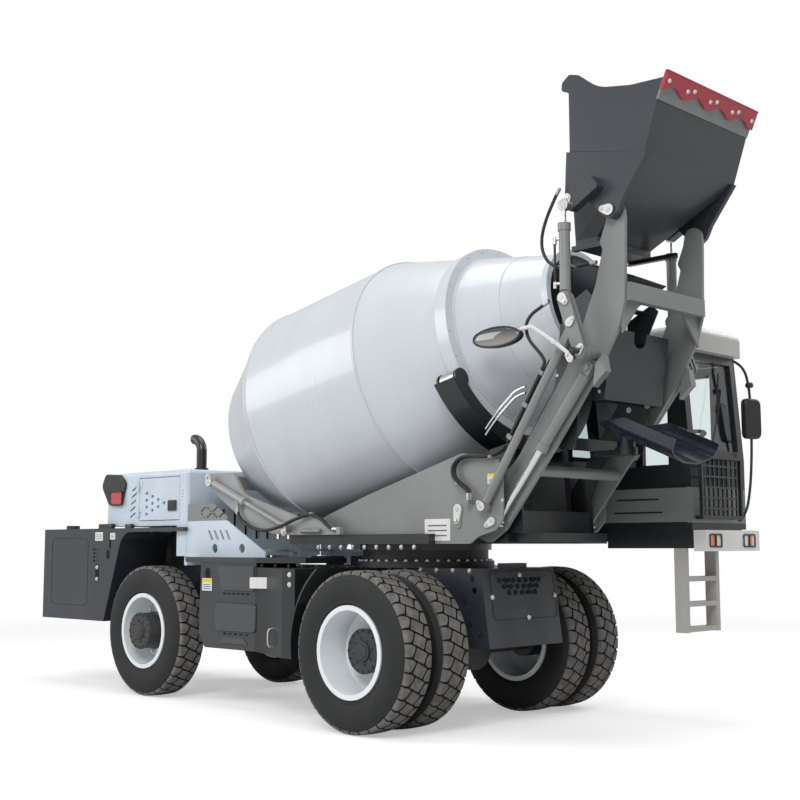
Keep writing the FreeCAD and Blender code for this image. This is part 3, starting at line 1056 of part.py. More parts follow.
def save_chute():
    """Swinging discharge chute: a trough that falls to the front, on a turning collar."""
    run = Vector(CHUTE_END_X - CHUTE_PIVOT_X + 110, 0, CHUTE_END_Z - CHUTE_PIVOT_Z)
    length = run.Length
    lean = math.degrees(math.atan2(-run.z, run.x))
    section = [(-CHUTE_Y, CHUTE_DEPTH), (-CHUTE_Y, 60, 70), (-90, 0, 80), (90, 0, 80), (CHUTE_Y, 60, 70), (CHUTE_Y, CHUTE_DEPTH)]
    hollow = [(CHUTE_T - CHUTE_Y, CHUTE_DEPTH + 5), (CHUTE_T - CHUTE_Y, 64, 62), (CHUTE_T - 90, CHUTE_T, 72),
              (90 - CHUTE_T, CHUTE_T, 72), (CHUTE_Y - CHUTE_T, 64, 62), (CHUTE_Y - CHUTE_T, CHUTE_DEPTH + 5)]
    trough = plate_x(section, 0, length).cut(plate_x(hollow, -1, length + 1))
    trough = trough.cut(plate_y([(-10, CHUTE_DEPTH + 10), (260, CHUTE_DEPTH + 10), (-10, 20)], -CHUTE_Y - 10, CHUTE_Y + 10))
    trough.rotate(Vector(0, 0, 0), Vector(0, 1, 0), lean)
    trough.translate(Vector(CHUTE_PIVOT_X - 110, 0, CHUTE_PIVOT_Z))
    collar = rod((CHUTE_PIVOT_X, 0, CHUTE_SEAT_Z + EYE_GAP), (CHUTE_PIVOT_X, 0, CHUTE_PIVOT_Z), 60)
    above = Part.makeBox(length, 400, 400, Vector(0, -200, CHUTE_T / 2))
    above.rotate(Vector(0, 0, 0), Vector(0, 1, 0), lean)
    above.translate(Vector(CHUTE_PIVOT_X - 110, 0, CHUTE_PIVOT_Z))
    collar = collar.cut(above)
    collar = collar.cut(rod((CHUTE_PIVOT_X, 0, CHUTE_SEAT_Z - 1), (CHUTE_PIVOT_X, 0, CHUTE_SEAT_Z + 40 + EYE_GAP), 28 + GAP))
    save("discharge_chute", joined(trough, collar))


# ---------------------------------------------------------------- cab


def save_cab_floor():
    """Cab floor on the deck's beams."""
    plan = [(CAB_X0, CAB_Y0), (CAB_X1, CAB_Y0), (CAB_X1, CAB_Y1), (CAB_X0, CAB_Y1)]
    beam = box(730, CAB_X1, CAB_Y0, CAB_Y1 - 60, BEAM_UNDER_Z, CAB_FLOOR)
    rear = box(-60, CAB_X0, CAB_Y0, CAB_Y1 - 60, CAB_FLOOR, CAB_FLOOR + CAB_T)
    link = box(245, 730, CAB_Y0 + 60, CAB_Y1 - 120, DECK_Z + 60, CAB_FLOOR)
    save("cab_floor", joined(plate_z(plan, CAB_FLOOR, CAB_FLOOR + CAB_T), beam, link, rear))


def cab_side_line(inset, low):
    """The cab's side outline as (x, z) points, moved inwards by inset."""
    return [(CAB_X0 + inset, low), (CAB_X1 - inset, low), (CAB_X1 - inset, CAB_SILL - 60),
            (CAB_X1 - CAB_LEAN - inset, CAB_EAVE), (CAB_X0 + 30 + inset, CAB_EAVE), (CAB_X0 + inset, CAB_SILL - 60)]


def save_cab_shell():
    """Cab shell: hollow, with openings for windscreen, side and rear windows and the door."""
    low = CAB_FLOOR + CAB_T
    outer = plate_y(cab_side_line(0, low), CAB_Y0, CAB_Y1)
    inner = plate_y(cab_side_line(CAB_T, low - 1), CAB_Y0 + CAB_T, CAB_Y1 - CAB_T)
    inner = inner.fuse(moved(inner, (0, 0, 20)))
    shell = outer.cut(inner)
    screen = box(CAB_X1 - 200, CAB_X1 + 10, CAB_Y0 + PILLAR, CAB_Y1 - PILLAR, CAB_SILL, CAB_EAVE - 60)
    rear = box(CAB_X0 - 10, CAB_X0 + 100, CAB_Y0 + 130, CAB_Y1 - 130, CAB_SILL, CAB_EAVE - 90)
    side = box(CAB_X0 + 130, CAB_X1 - CAB_LEAN - 120, CAB_Y0 - 1, CAB_Y0 + CAB_T + 1, CAB_SILL - 120, CAB_EAVE - 90)
    door = box(DOOR_X0 - SLACK, DOOR_X1 + SLACK, CAB_Y1 - CAB_T - 1, CAB_Y1 + 1, DOOR_Z0 - SLACK, DOOR_Z1 + SLACK)
    for hole in (screen, rear, side, door):
        shell = shell.cut(hole)
    halves = [hinge_pair(DOOR_X1 + SLACK / 2, CAB_Y1, z, -1)[0] for z in DOOR_HINGES]
    save("cab_shell", joined(shell, *halves))


def save_cab_roof():
    """Cab roof: a thick rounded lid with a small overhang."""
    lid = box(CAB_X0 - 10, CAB_X1 + 15, CAB_Y0 - 12, CAB_Y1 + 12, CAB_EAVE, CAB_ROOF)
    lid = lid.makeFillet(60, [e for e in lid.Edges if e.CenterOfMass.z > CAB_EAVE + 5])
    save("cab_roof", lid)


def save_cab_glass():
    """Panes of windscreen, inner side and rear, set in the middle of their openings."""
    mid = CAB_T / 2
    front = plate_y(cab_side_line(mid, CAB_FLOOR + CAB_T), CAB_Y0 + PILLAR, CAB_Y1 - PILLAR)
    front = front.cut(plate_y(cab_side_line(mid + GLASS_T, CAB_FLOOR), CAB_Y0, CAB_Y1))
    screen = front.common(box(CAB_X1 - 200, CAB_X1 + 10, CAB_Y0, CAB_Y1, CAB_SILL, CAB_EAVE - 60))
    rear = front.common(box(CAB_X0 - 10, CAB_X0 + 100, CAB_Y0 + 130, CAB_Y1 - 130, CAB_SILL, CAB_EAVE - 90))
    side = box(CAB_X0 + 130, CAB_X1 - CAB_LEAN - 120, CAB_Y0 + mid, CAB_Y0 + mid + GLASS_T, CAB_SILL - 120, CAB_EAVE - 90)
    save("cab_glass", screen, rear, side)


def save_cab_door():
    """Cab door: as thick as the cab's wall, with its window cut and a handle."""
    door = box(DOOR_X0, DOOR_X1, CAB_Y1 - CAB_T, CAB_Y1, DOOR_Z0, DOOR_Z1)
    door = door.cut(box(DOOR_X0 + 70, DOOR_X1 - 70, CAB_Y1 - 100, CAB_Y1 + 1, CAB_SILL - 60, DOOR_Z1 - 70))
    handle = joined(box(DOOR_X0 + 40, DOOR_X0 + 56, CAB_Y1, CAB_Y1 + 34, 1790, 1806),
                    box(DOOR_X0 + 160, DOOR_X0 + 176, CAB_Y1, CAB_Y1 + 34, 1790, 1806),
                    box(DOOR_X0 + 40, DOOR_X0 + 176, CAB_Y1 + 22, CAB_Y1 + 34, 1790, 1806))
    halves = [hinge_pair(DOOR_X1 + SLACK / 2, CAB_Y1, z, -1)[1] for z in DOOR_HINGES]
    save("cab_door", joined(door, handle, *halves))


def save_cab_seat():
    """Seat, and the steering column with its wheel."""
    top = CAB_FLOOR + CAB_T
    y = (CAB_Y0 + CAB_Y1) / 2
    base = box(520, 860, y - 160, y + 160, top, top + 300)
    cushion = box(480, 940, y - 235, y + 235, top + 300, top + 400)
    cushion = cushion.makeFillet(35, cushion.Edges)
    back = plate_y([(500, top + 390), (600, top + 390), (540, top + 960, 40), (430, top + 960, 40)], y - 225, y + 225)
    column = joined(rod((1250, y, top + 15), (1140, y, top + 640), 38), box(1200, 1300, y - 50, y + 50, top, top + 40))
    wheel = Part.makeTorus(175, 15, Vector(1140, y, top + 640), Vector(-110, 0, 640))
    spokes = rod((1152, y - 165, top + 640), (1152, y + 165, top + 640), 13)
    save("cab_seat", joined(base, cushion, back), joined(column, spokes, wheel))


def save_cab_guard():
    """Bar guard in front of the cab: an outer frame with a grid of bars and four stand-offs."""
    bar = GUARD_BAR
    y0 = CAB_Y0 + 15
    parts = [box(GUARD_X, GUARD_X + 2 * bar, y0, GUARD_Y1, z, z + 2 * bar) for z in (GUARD_Z0, GUARD_Z1 - 2 * bar)]
    parts += [box(GUARD_X, GUARD_X + 2 * bar, y, y + 2 * bar, GUARD_Z0, GUARD_Z1) for y in (y0, GUARD_Y1 - 2 * bar)]
    count = 9
    for i in range(1, count):
        y = y0 + (GUARD_Y1 - y0) * i / count
        parts.append(box(GUARD_X, GUARD_X + bar, y - bar / 2, y + bar / 2, GUARD_Z0, GUARD_Z1))
    for i in range(1, 6):
        z = GUARD_Z0 + (GUARD_Z1 - GUARD_Z0) * i / 6
        parts.append(box(GUARD_X, GUARD_X + bar, y0, GUARD_Y1, z - bar / 2, z + bar / 2))
    for y in (y0 + 30, GUARD_Y1 - 60):
        for z in (GUARD_Z0, GUARD_Z1 - 2 * bar):
            parts.append(box(CAB_X1, GUARD_X + bar, y, y + 2 * bar, z, z + 2 * bar))
    save("cab_guard", joined(*parts))


def save_bumper():
    """Bumper in front of the cab, with recesses for its lamps."""
    beam = box(BUMPER_X - BUMPER_D, BUMPER_X, CAB_Y0 - 10, CAB_Y1 - 10, BUMPER_Z0, BUMPER_Z1)
    for y in (CAB_Y0 + 120, CAB_Y1 - 180):
        beam = beam.cut(box(BUMPER_X - 18, BUMPER_X + 1, y - 75, y - 5, BUMPER_Z0 + 35, BUMPER_Z1 - 35))
        beam = beam.cut(box(BUMPER_X - 18, BUMPER_X + 1, y + 5, y + 75, BUMPER_Z0 + 35, BUMPER_Z1 - 35))
    arms = box(CAB_X1, BUMPER_X - BUMPER_D, CAB_Y0 + 30, CAB_Y1 - 90, BEAM_UNDER_Z + 20, CAB_FLOOR - 20)
    save("bumper", joined(beam, arms))


def save_ladder():
    """Ladder to the cab: two stiles with box steps, hung under the beam."""
    d = LADDER_STILE
    stiles = [box(LADDER_X, LADDER_X + 2 * d, y, y + d, LADDER_Z, BEAM_UNDER_Z) for y in (LADDER_Y0, LADDER_Y1 - d)]
    pitch = (BEAM_UNDER_Z - 60 - LADDER_Z) / LADDER_STEPS
    steps = [box(LADDER_X, LADDER_X + 2 * d, LADDER_Y0, LADDER_Y1, LADDER_Z + 4 + pitch * i, LADDER_Z + 38 + pitch * i)
             for i in range(LADDER_STEPS)]
    save("ladder", joined(*stiles, *steps))


# ---------------------------------------------------------------- loader


def save_arms():
    """Lift arms: two bent plates with flanges, their bosses, the cross beam with gussets and the cross tube."""
    line = [(ARM_X, ARM_Z - 130, 60), (640, 1262, 60), (783, 1353, 60), (1252, 1930, 600), (1576, 2356, 200), (1718, 2595, 300)]
    line += [(1774, 2779, 200), (1789, 3300), (1779, 3400, 60), (1665, 3410, 60), (1640, 3290, 40), (1592, 3174, 20)]
    line += [(1614, 3125, 20), (1555, 2906, 200), (1462, 2690, 200), (1300, 2370, 500), (860, 1780, 500), (520, 1590, 80)]
    line += [(ARM_X - 118, 1560, 80), (ARM_X - 118, ARM_Z - 130, 80)]
    plate = plate_y(line, ARM_Y, ARM_Y + ARM_T)
    plate = plate.cut(pin_y(ARM_X, ARM_Z, ARM_PIN_R + GAP, ARM_Y - 1, ARM_Y + ARM_T + 1))
    outer = ARM_Y + ARM_T
    lift_pin = pin_y(LIFT_TOP_X, LIFT_TOP_Z, PIN_R, ARM_Y, LIFT_Y + 42)
    lift_boss = pin_y(LIFT_TOP_X, LIFT_TOP_Z, EYE_R, ARM_Y, LIFT_Y - LIFT_ROD_R - EYE_GAP)
    crank_boss = pin_y(CRANK_X, CRANK_Z, 38, ARM_Y, LINK_Y - LINK_T / 2 - CRANK_T - 2 * EYE_GAP)
    crank_pin = pin_y(CRANK_X, CRANK_Z, PIN_R, ARM_Y, LINK_Y + LINK_T / 2 + CRANK_T + 10)
    gusset = plate_y([(1585, 2390), (1640, 2440), (1660, 2330), (1560, 2240)], outer, outer + 60)
    tip_pin = pin_y(ARM_TIP_X, ARM_TIP_Z, PIN_R + 6, ARM_Y - 6, HOPPER_Y + 8)
    beam = box(BEAM_X - BEAM_W / 2, BEAM_X + BEAM_W / 2, -ARM_Y, ARM_Y, BEAM_Z - BEAM_H / 2, BEAM_Z + BEAM_H / 2)
    beam = beam.cut(box(BEAM_X - BEAM_W / 2 + 8, BEAM_X + BEAM_W / 2 - 8, -ARM_Y + 20, ARM_Y - 20,
                        BEAM_Z - BEAM_H / 2 + 8, BEAM_Z + BEAM_H / 2 - 8))
    corner = plate_x([(ARM_Y, BEAM_Z - BEAM_H / 2), (ARM_Y - 190, BEAM_Z - BEAM_H / 2), (ARM_Y, BEAM_Z - 260)],
                     BEAM_X - 40, BEAM_X - 26)
    tube = pin_y(TUBE_X, TUBE_Z, TUBE_R, -ARM_Y, ARM_Y)
    side = joined(plate, lift_pin, lift_boss, crank_boss, crank_pin, gusset, tip_pin)
    save("loader_arms", joined(side, mirrored(side), beam, corner, mirrored(corner), tube))


def lug_plate(points, radius, y0, y1):
    """A link plate: round eyes at the points, joined in a row by straight bars."""
    parts = [pin_y(x, z, radius, y0, y1) for x, z in points]
    for (x0, z0), (x1, z1) in zip(points, points[1:]):
        along = Vector(x1 - x0, 0, z1 - z0).normalize() * radius
        side = [(x0 - along.z, z0 + along.x), (x0 + along.z, z0 - along.x), (x1 + along.z, z1 - along.x)]
        side.append((x1 - along.z, z1 + along.x))
        parts.append(plate_y(side, y0, y1))
    return joined(*parts)


def save_cranks():
    """Bell cranks: two plates each, on the arm's boss, with the pins of tie rod and tilt cylinder."""
    inner = LINK_Y - LINK_T / 2 - EYE_GAP
    outer = LINK_Y + LINK_T / 2 + EYE_GAP
    points = [(CRANK_X, CRANK_Z), (CRANK_MID_X, CRANK_MID_Z), (CRANK_TOP_X, CRANK_TOP_Z)]
    plates = [lug_plate(points, CRANK_LUG_R, inner - CRANK_T, inner), lug_plate(points, CRANK_LUG_R, outer, outer + CRANK_T)]
    pins = [pin_y(CRANK_TOP_X, CRANK_TOP_Z, PIN_R - 4, inner - CRANK_T, outer + CRANK_T + 8),
            pin_y(CRANK_MID_X, CRANK_MID_Z, PIN_R - 4, outer, outer + CRANK_T + 8)]
    bore = pin_y(CRANK_X, CRANK_Z, PIN_R + GAP, inner - CRANK_T - 1, outer + CRANK_T + 1)
    hub = pin_y(CRANK_X, CRANK_Z, CRANK_LUG_R - 8, inner - 2, outer + 2)
    save("bell_cranks", *pair(joined(*plates, hub, *pins).cut(bore)))


def save_tie_rods():
    """Tie rods from the turntable's pin to the bell crank's middle pin, with a flat tongue between the crank's plates."""
    low = Vector(TIE_X, LINK_Y, TIE_Z)
    high = Vector(CRANK_MID_X, LINK_Y, CRANK_MID_Z)
    along = (high - low).normalize()
    y0 = LINK_Y - LINK_T / 2
    y1 = LINK_Y + LINK_T / 2
    foot = pin_y(TIE_X, TIE_Z, EYE_R, y0, y1)
    bar = rod(low + along * (EYE_R - 6), high - along * TONGUE, TIE_R)
    root = high - along * (TONGUE + 10)
    tongue = lug_plate([(root.x, root.z), (high.x, high.z)], TIE_R - 2, y0 + EYE_GAP, y1 - EYE_GAP)
    bore = pin_y(TIE_X, TIE_Z, PIN_R + GAP, y0 - 1, y1 + 1)
    left, right = pair(joined(foot, bar, tongue).cut(bore))
    off = Vector(-along.z, 0, along.x)
    starts = [Vector(low.x, y, low.z) + off * BUNDLE_OFF for y in (-LINK_Y + HOSE_SPACING / 2, -LINK_Y - HOSE_SPACING / 2)]
    routes = []
    for start, rest in zip(starts, (ARM_HOSE, CRANK_HOSE)):
        routes.append([start + along * BUNDLE_START, start + along * BUNDLE_END] + rest)
    clips = []
    for reach in (BUNDLE_START + 40, (BUNDLE_START + BUNDLE_END) / 2, BUNDLE_END - 40):
        corners = [low + along * (reach + s) + off * o for s, o in ((-14, TIE_R - 8), (14, TIE_R - 8), (14, 64), (-14, 64))]
        clips.append(plate_y([(p.x, p.z) for p in corners], -LINK_Y - 29, -LINK_Y + 29))
    holders = joined(right, *clips).cut(joined(*[tube(route, HOSE_R + GAP) for route in routes]))
    save("tie_rods", left, holders)
    save("tie_rod_hoses", *[tube(route, HOSE_R) for route in routes])


def cylinder(foot, eye, barrel_length, barrel_r, rod_r, y, eye_t, retract):
    """A hydraulic cylinder between two pins: (barrel with its foot eye, rod with its eye)."""
    low = Vector(foot[0], y, foot[1])
    high = Vector(eye[0], y, eye[1])
    along = (high - low).normalize()
    half = eye_t / 2
    eye_r = barrel_r + 4
    neck = CRANK_LUG_R + SLACK
    foot_line = [(low.x, low.z), (low.x + along.x * neck, low.z + along.z * neck)]
    foot_eye = lug_plate(foot_line, eye_r - 8, y - half, y + half)
    body = rod(low + along * neck, low + along * barrel_length, barrel_r)
    gland = rod(low + along * (barrel_length - 50), low + along * barrel_length, barrel_r + 6)
    inside = barrel_length - ROD_INSIDE
    room = rod(low + along * (inside - retract), low + along * (barrel_length + 1), rod_r + GAP)
    barrel = joined(foot_eye, body, gland).cut(room)
    barrel = barrel.cut(pin_y(low.x, low.z, PIN_R + GAP, y - 60, y + 60))
    bar = rod(low + along * inside, high - along * (eye_r - 6), rod_r)
    head = pin_y(high.x, high.z, eye_r, y - half, y + half)
    return barrel, joined(bar, head)


def save_cylinders():
    """Lift cylinders hang from the arms, tilt cylinders stand on the bell cranks. Right and left ones move together."""
    lift = cylinder((LIFT_TOP_X, LIFT_TOP_Z), (LIFT_FOOT_X, LIFT_FOOT_Z), LIFT_BARREL, LIFT_R, LIFT_ROD_R, LIFT_Y, LIFT_EYE_T, LIFT_RETRACT)
    tilt = cylinder((CRANK_TOP_X, CRANK_TOP_Z), (TILT_EYE_X, TILT_EYE_Z), TILT_BARREL, TILT_R, TILT_ROD_R, LINK_Y, LINK_T, TILT_RETRACT)
    for node, shape in zip(("lift_barrels", "lift_rods", "tilt_barrels", "tilt_rods"), lift + tilt):
        save(node, *pair(shape))


def save_tilt_hoses():
    """The pipe along the right tilt cylinder, and the hose to the hopper in its clip behind the cylinder."""
    barrel = rod((CRANK_TOP_X, -LINK_Y, CRANK_TOP_Z), (TILT_EYE_X, -LINK_Y, CRANK_TOP_Z + TILT_BARREL), TILT_R)
    low = CRANK_TOP_Z + CRANK_LUG_R + 20
    high = CRANK_TOP_Z + TILT_BARREL - 90
    parts = [rod((BARREL_PIPE_X, BARREL_PIPE_Y, low), (BARREL_PIPE_X, BARREL_PIPE_Y, high), BARREL_PIPE_R)]
    for z in (low + 30, high - 12):
        parts.append(rod((BARREL_PIPE_X, BARREL_PIPE_Y, z), (CRANK_TOP_X, -LINK_Y, z), BARREL_PIPE_R + 2))
    hose = tube(HOPPER_HOSE, HOSE_R)
    x, y, z = HOPPER_HOSE[-2]
    holder = rod((x, y, z), (x, -LINK_Y, z), BARREL_PIPE_R + 2)
    save("tilt_hoses", joined(*parts).cut(barrel), joined(hose, holder).cut(barrel))


def save_mirror():
    """Convex mirror with its curved stay on the right arm."""
    rim = Part.Ellipse(Vector(0, 0, 0), MIRROR_HALF_W, MIRROR_HALF_H).toShape()
    bowl = Part.Face(Part.Wire(rim)).extrude(Vector(0, 0, MIRROR_T))
    bowl = bowl.makeFillet(MIRROR_T * 0.4, bowl.Edges[:1] + bowl.Edges[2:])
    bowl.rotate(Vector(0, 0, 0), Vector(1, 0, 0), 90)
    bowl.translate(Vector(MIRROR_X, MIRROR_Y + MIRROR_T / 2, MIRROR_Z))
    points = [Vector(MIRROR_X + 120, MIRROR_Y, MIRROR_Z + 30), Vector(1240, -735, 2640), Vector(1420, -730, 2520)]
    points.append(Vector(LIFT_TOP_X + 20, -700, LIFT_TOP_Z + 40))
    bars = [rod(a, b, MIRROR_ROD_R) for a, b in zip(points, points[1:])]
    knees = [Part.makeSphere(MIRROR_ROD_R, p) for p in points[1:]]
    post = pin_y(CRANK_X, CRANK_Z, PIN_R, -730, -LINK_Y - LINK_T / 2 - CRANK_T - 10)
    link = rod(points[-1], (CRANK_X, -715, CRANK_Z), MIRROR_ROD_R)
    save("convex_mirror", joined(bowl, *bars, *knees, link, post))


# ---------------------------------------------------------------- hopper


def save_hopper():
    """Loading hopper: a box with open top, a funnel to the gate, overlay plates with the pivots, and the cylinder brackets."""
    t = HOPPER_T
    y = HOPPER_Y
    fold_back = (HOPPER_BACK_X, HOPPER_FOLD_BACK_Z)
    fold_front = (HOPPER_FOLD_X, HOPPER_FOLD_Z)
    side_line = [fold_back, (HOPPER_BACK_X, 4190, 20), (1362, 4215, 20), (1366, 4270, 30), (1425, 4312, 25), (1500, 4290, 60)]
    side_line += [(1657, 4165, 300), (1900, 4118, 300), (HOPPER_LIP_X - 22, HOPPER_LIP_Z), fold_front]
    side = plate_y(side_line, y - t, y)
    front = plate_y([fold_front, (HOPPER_LIP_X - 22, HOPPER_LIP_Z), (HOPPER_LIP_X - 22 - t, HOPPER_LIP_Z), (HOPPER_FOLD_X - t, HOPPER_FOLD_Z)],
                    -y, y)
    back = box(HOPPER_BACK_X, HOPPER_BACK_X + t, -y, y, HOPPER_FOLD_BACK_Z - t, 4190)
    top = (HOPPER_BACK_X, HOPPER_FOLD_X, y, HOPPER_FOLD_BACK_Z, HOPPER_FOLD_Z)
    throat = (GATE_X0 + 12, GATE_X1 - 12, GATE_Y, GATE_Z + 40, GATE_Z + 40)
    neck = (GATE_X0 + 12, GATE_X1 - 12, GATE_Y, GATE_Z, GATE_Z)
    lower = joined(funnel(top, throat, t), funnel(throat, neck, t))
    overlay = [(1392, 3796), (HOPPER_FOLD_X + 20, 3664), (1826, 3417, 60), (ARM_TIP_X + 62, ARM_TIP_Z - 20, 50)]
    overlay += [(ARM_TIP_X, ARM_TIP_Z - 62, 50), (ARM_TIP_X - 62, ARM_TIP_Z - 20, 50), (1560, 3440, 60), (1375, 3511, 30)]
    plate = plate_y(overlay, y - t - OVERLAY_T, y)
    boss = pin_y(ARM_TIP_X, ARM_TIP_Z, 52, ARM_Y + ARM_T + EYE_GAP, y)
    bracket = [(TILT_EYE_X - 40, TILT_EYE_Z - 30, 30), (TILT_EYE_X + 40, TILT_EYE_Z - 40, 30), (1690, 3500, 20), (1620, 3590, 20)]
    arm = plate_y(bracket, y, LINK_Y - LINK_T / 2 - EYE_GAP)
    bore = pin_y(ARM_TIP_X, ARM_TIP_Z, PIN_R + 6 + GAP, 0, y + 1)
    wall = joined(side, plate, boss, arm).cut(bore)
    rails = box(GATE_X0 - 4, GATE_X1 + GATE_TRAVEL, GATE_Y - 6, GATE_Y + 24, GATE_Z - 6, GATE_Z)
    rail_foot = box(GATE_X0 - 4, GATE_X1 + GATE_TRAVEL, GATE_Y + 10, GATE_Y + 24, GATE_Z - 34, GATE_Z - 6)
    rail_lip = box(GATE_X0 - 4, GATE_X1 + GATE_TRAVEL, GATE_Y - 16, GATE_Y + 24, GATE_Z - 34, GATE_Z - 24)
    rail = joined(rails, rail_foot, rail_lip)
    save("hopper", joined(wall, mirrored(wall), front, back, lower, rail, mirrored(rail)))


def save_gate():
    """Sliding gate under the hopper's funnel."""
    z1 = GATE_Z - 6 - EYE_GAP
    plate = box(GATE_X0, GATE_X1, -GATE_Y + 2, GATE_Y - 2, z1 - GATE_T, z1)
    wide = box(GATE_X0, GATE_X1, -GATE_Y - 9, GATE_Y + 9, z1 - GATE_T, z1)
    pull = box(GATE_X1 - 20, GATE_X1, -60, 60, z1 - 60, z1 - GATE_T)
    save("hopper_gate", joined(plate, wide, pull))


def save_edge():
    """Scalloped cutting edge, bolted along the hopper's lip."""
    y = HOPPER_Y + 6
    up = Vector(HOPPER_LIP_X - 22 - HOPPER_FOLD_X, 0, HOPPER_LIP_Z - HOPPER_FOLD_Z).normalize()
    out = Vector(up.z, 0, -up.x)
    corner = Vector(HOPPER_LIP_X - 22, 0, HOPPER_LIP_Z)

    def at(along, across):
        point = corner + up * along + out * across
        return (point.x, point.z)

    base = plate_y([at(-EDGE_H, 0), at(EDGE_LOW, 0), at(EDGE_LOW, 12), at(-EDGE_H, 12)], -y, y)
    strip = plate_y([at(-EDGE_H + 34, 12), at(EDGE_LOW + 12, 12), at(EDGE_LOW + 12, EDGE_T), at(-EDGE_H + 34, EDGE_T - 8)], -y, y)
    pitch = 2 * y / EDGE_TEETH
    for i in range(EDGE_TEETH):
        middle = -y + pitch * (i + 0.5)
        bottom = corner + up * (-EDGE_H + 22) + out * 12.5
        strip = strip.cut(rod(bottom + Vector(0, middle, 0), bottom + Vector(0, middle, 0) + out * 60, pitch * 0.33))
    save("cutting_edge", joined(base, strip))


os.makedirs("parts", exist_ok=True)
for make in (save_chassis, save_slew_base, save_driveline, save_engine, save_front_axle, save_rear_axle, save_knuckles,
             save_steering_rod, save_wheels, save_hood, save_hood_doors, save_tail_lamps, save_fairings, save_exhaust,
             save_tanks, save_side_boxes, save_deck, save_side_frames, save_tail_support, save_deck_hoses, save_drum, save_drum_drive,
             save_rollers, save_saddle, save_mouth_frame, save_feed_hopper, save_discharge, save_chute, save_cab_floor,
             save_cab_shell, save_cab_roof, save_cab_glass, save_cab_door, save_cab_seat, save_cab_guard, save_bumper,
             save_ladder, save_arms, save_cranks, save_tie_rods, save_cylinders, save_tilt_hoses, save_mirror, save_hopper, save_gate,
             save_edge):
    make()
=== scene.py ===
# %% [markdown]
# # A self-loading concrete mixer
#
# A self-loading mixer carries its own shovel. Two arms lower the hopper in front of the machine, it drives
# into a heap of gravel, and the arms lift the hopper over the drum's mouth. The drum, the arms and the cab
# all stand on one turntable, so the chute can reach either side of the chassis.
#
# The construction comes as a frame of real solids that sit on moving bodies. This script gives every solid
# its finish and adds what a drawing office leaves out: tyre tread, bolts, welds, hoses, lamps, labels and
# light.

# %% Load the frame
import json
import math

import bpy
import numpy as np
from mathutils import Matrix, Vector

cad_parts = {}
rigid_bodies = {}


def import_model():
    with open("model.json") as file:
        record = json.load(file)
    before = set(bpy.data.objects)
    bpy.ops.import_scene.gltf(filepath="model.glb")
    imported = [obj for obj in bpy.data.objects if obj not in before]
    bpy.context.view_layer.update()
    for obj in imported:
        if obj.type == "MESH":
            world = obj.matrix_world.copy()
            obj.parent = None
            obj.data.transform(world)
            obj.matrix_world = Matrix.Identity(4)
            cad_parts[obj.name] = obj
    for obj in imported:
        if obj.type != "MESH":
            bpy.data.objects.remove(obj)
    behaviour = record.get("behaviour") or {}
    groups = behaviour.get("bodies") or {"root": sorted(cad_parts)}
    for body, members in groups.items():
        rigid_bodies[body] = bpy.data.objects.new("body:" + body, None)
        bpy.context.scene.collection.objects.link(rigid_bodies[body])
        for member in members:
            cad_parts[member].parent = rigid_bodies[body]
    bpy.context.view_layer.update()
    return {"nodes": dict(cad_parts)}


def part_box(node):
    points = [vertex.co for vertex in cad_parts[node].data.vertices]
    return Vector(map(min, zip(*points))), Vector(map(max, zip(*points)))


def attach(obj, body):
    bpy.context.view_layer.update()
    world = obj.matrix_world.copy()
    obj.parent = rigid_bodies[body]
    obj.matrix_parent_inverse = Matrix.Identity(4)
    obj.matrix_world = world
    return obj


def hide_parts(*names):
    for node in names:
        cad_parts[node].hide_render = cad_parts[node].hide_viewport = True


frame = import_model()
scene = bpy.context.scene

# %% [markdown]
# ## Where things are
#
# Every place below is measured from one zero point, and that is worked out from the boxes of the solids.
# The easiest zero for this machine is the middle of its front axle on the ground, since both front wheels
# share one axis. `at` turns a place measured from there (forward, to the left, up) into the frame's own
# metres.

# %% Zero point on the front axle
front_left = np.array(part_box("front_tyres_left"))
front_right = np.array(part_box("front_tyres_right"))
ZERO = (front_left.mean(axis=0) + front_right.mean(axis=0)) / 2
ZERO[2] = 0.0
TYRE_R = float(front_left[1, 2] - front_left[0, 2]) / 2


def at(x, y, z):
    """The frame's place of a point measured from the middle of the front axle, on the ground."""
    return np.array([x, y, z], float) + ZERO


print("zero point:", np.round(ZERO, 4), "tyre radius:", round(TYRE_R, 4))

# %% [markdown]
# ## Writing shader maths as sums
#
# A material is a small program, and in nodes even `1 - mask * 0.3` is two boxes and three wires. The class
# below wraps one output socket and gives it Python's own operators, so such a line adds the Math nodes by
# itself. The reflected forms, such as `__rsub__`, let a plain number stand on the left.

# %% A socket that can be added and multiplied
class Socket:
    """One output of a shader node, with the operators that build Math nodes."""

    def __init__(self, finish, output):
        self.finish = finish
        self.output = output

    def math(self, operation, *values):
        """A Math node of this socket and the values, in the order given."""
        return self.finish.node("ShaderNodeMath", {"operation": operation}, dict(enumerate(values)))

    def __add__(self, other):
        return self.math("ADD", self, other)

    def __sub__(self, other):
        return self.math("SUBTRACT", self, other)

    def __rsub__(self, other):
        return self.math("SUBTRACT", other, self)

    def __mul__(self, other):
        return self.math("MULTIPLY", self, other)

    def __gt__(self, other):
        return self.math("GREATER_THAN", self, other)

    def __lt__(self, other):
        return self.math("LESS_THAN", self, other)

    __radd__ = __add__
    __rmul__ = __mul__

    def sine(self):
        """The sine of this socket, in radians."""
        return self.math("SINE", self)

    def between(self, low, high):
        """0 below low, 1 above high and a smooth step in between."""
        sockets = {"Value": self, "From Min": low, "From Max": high}
        return self.finish.node("ShaderNodeMapRange", {"interpolation_type": "SMOOTHSTEP"}, sockets)


# %% [markdown]
# ## One method for every other node
#
# `Finish.node` takes a node's type, its settings and its sockets. Settings go first, because an operation
# or a data type decides which sockets there are. `Finish` also keeps the Principled shader, and `put` sets
# a plain value on it or links a worked-out one.

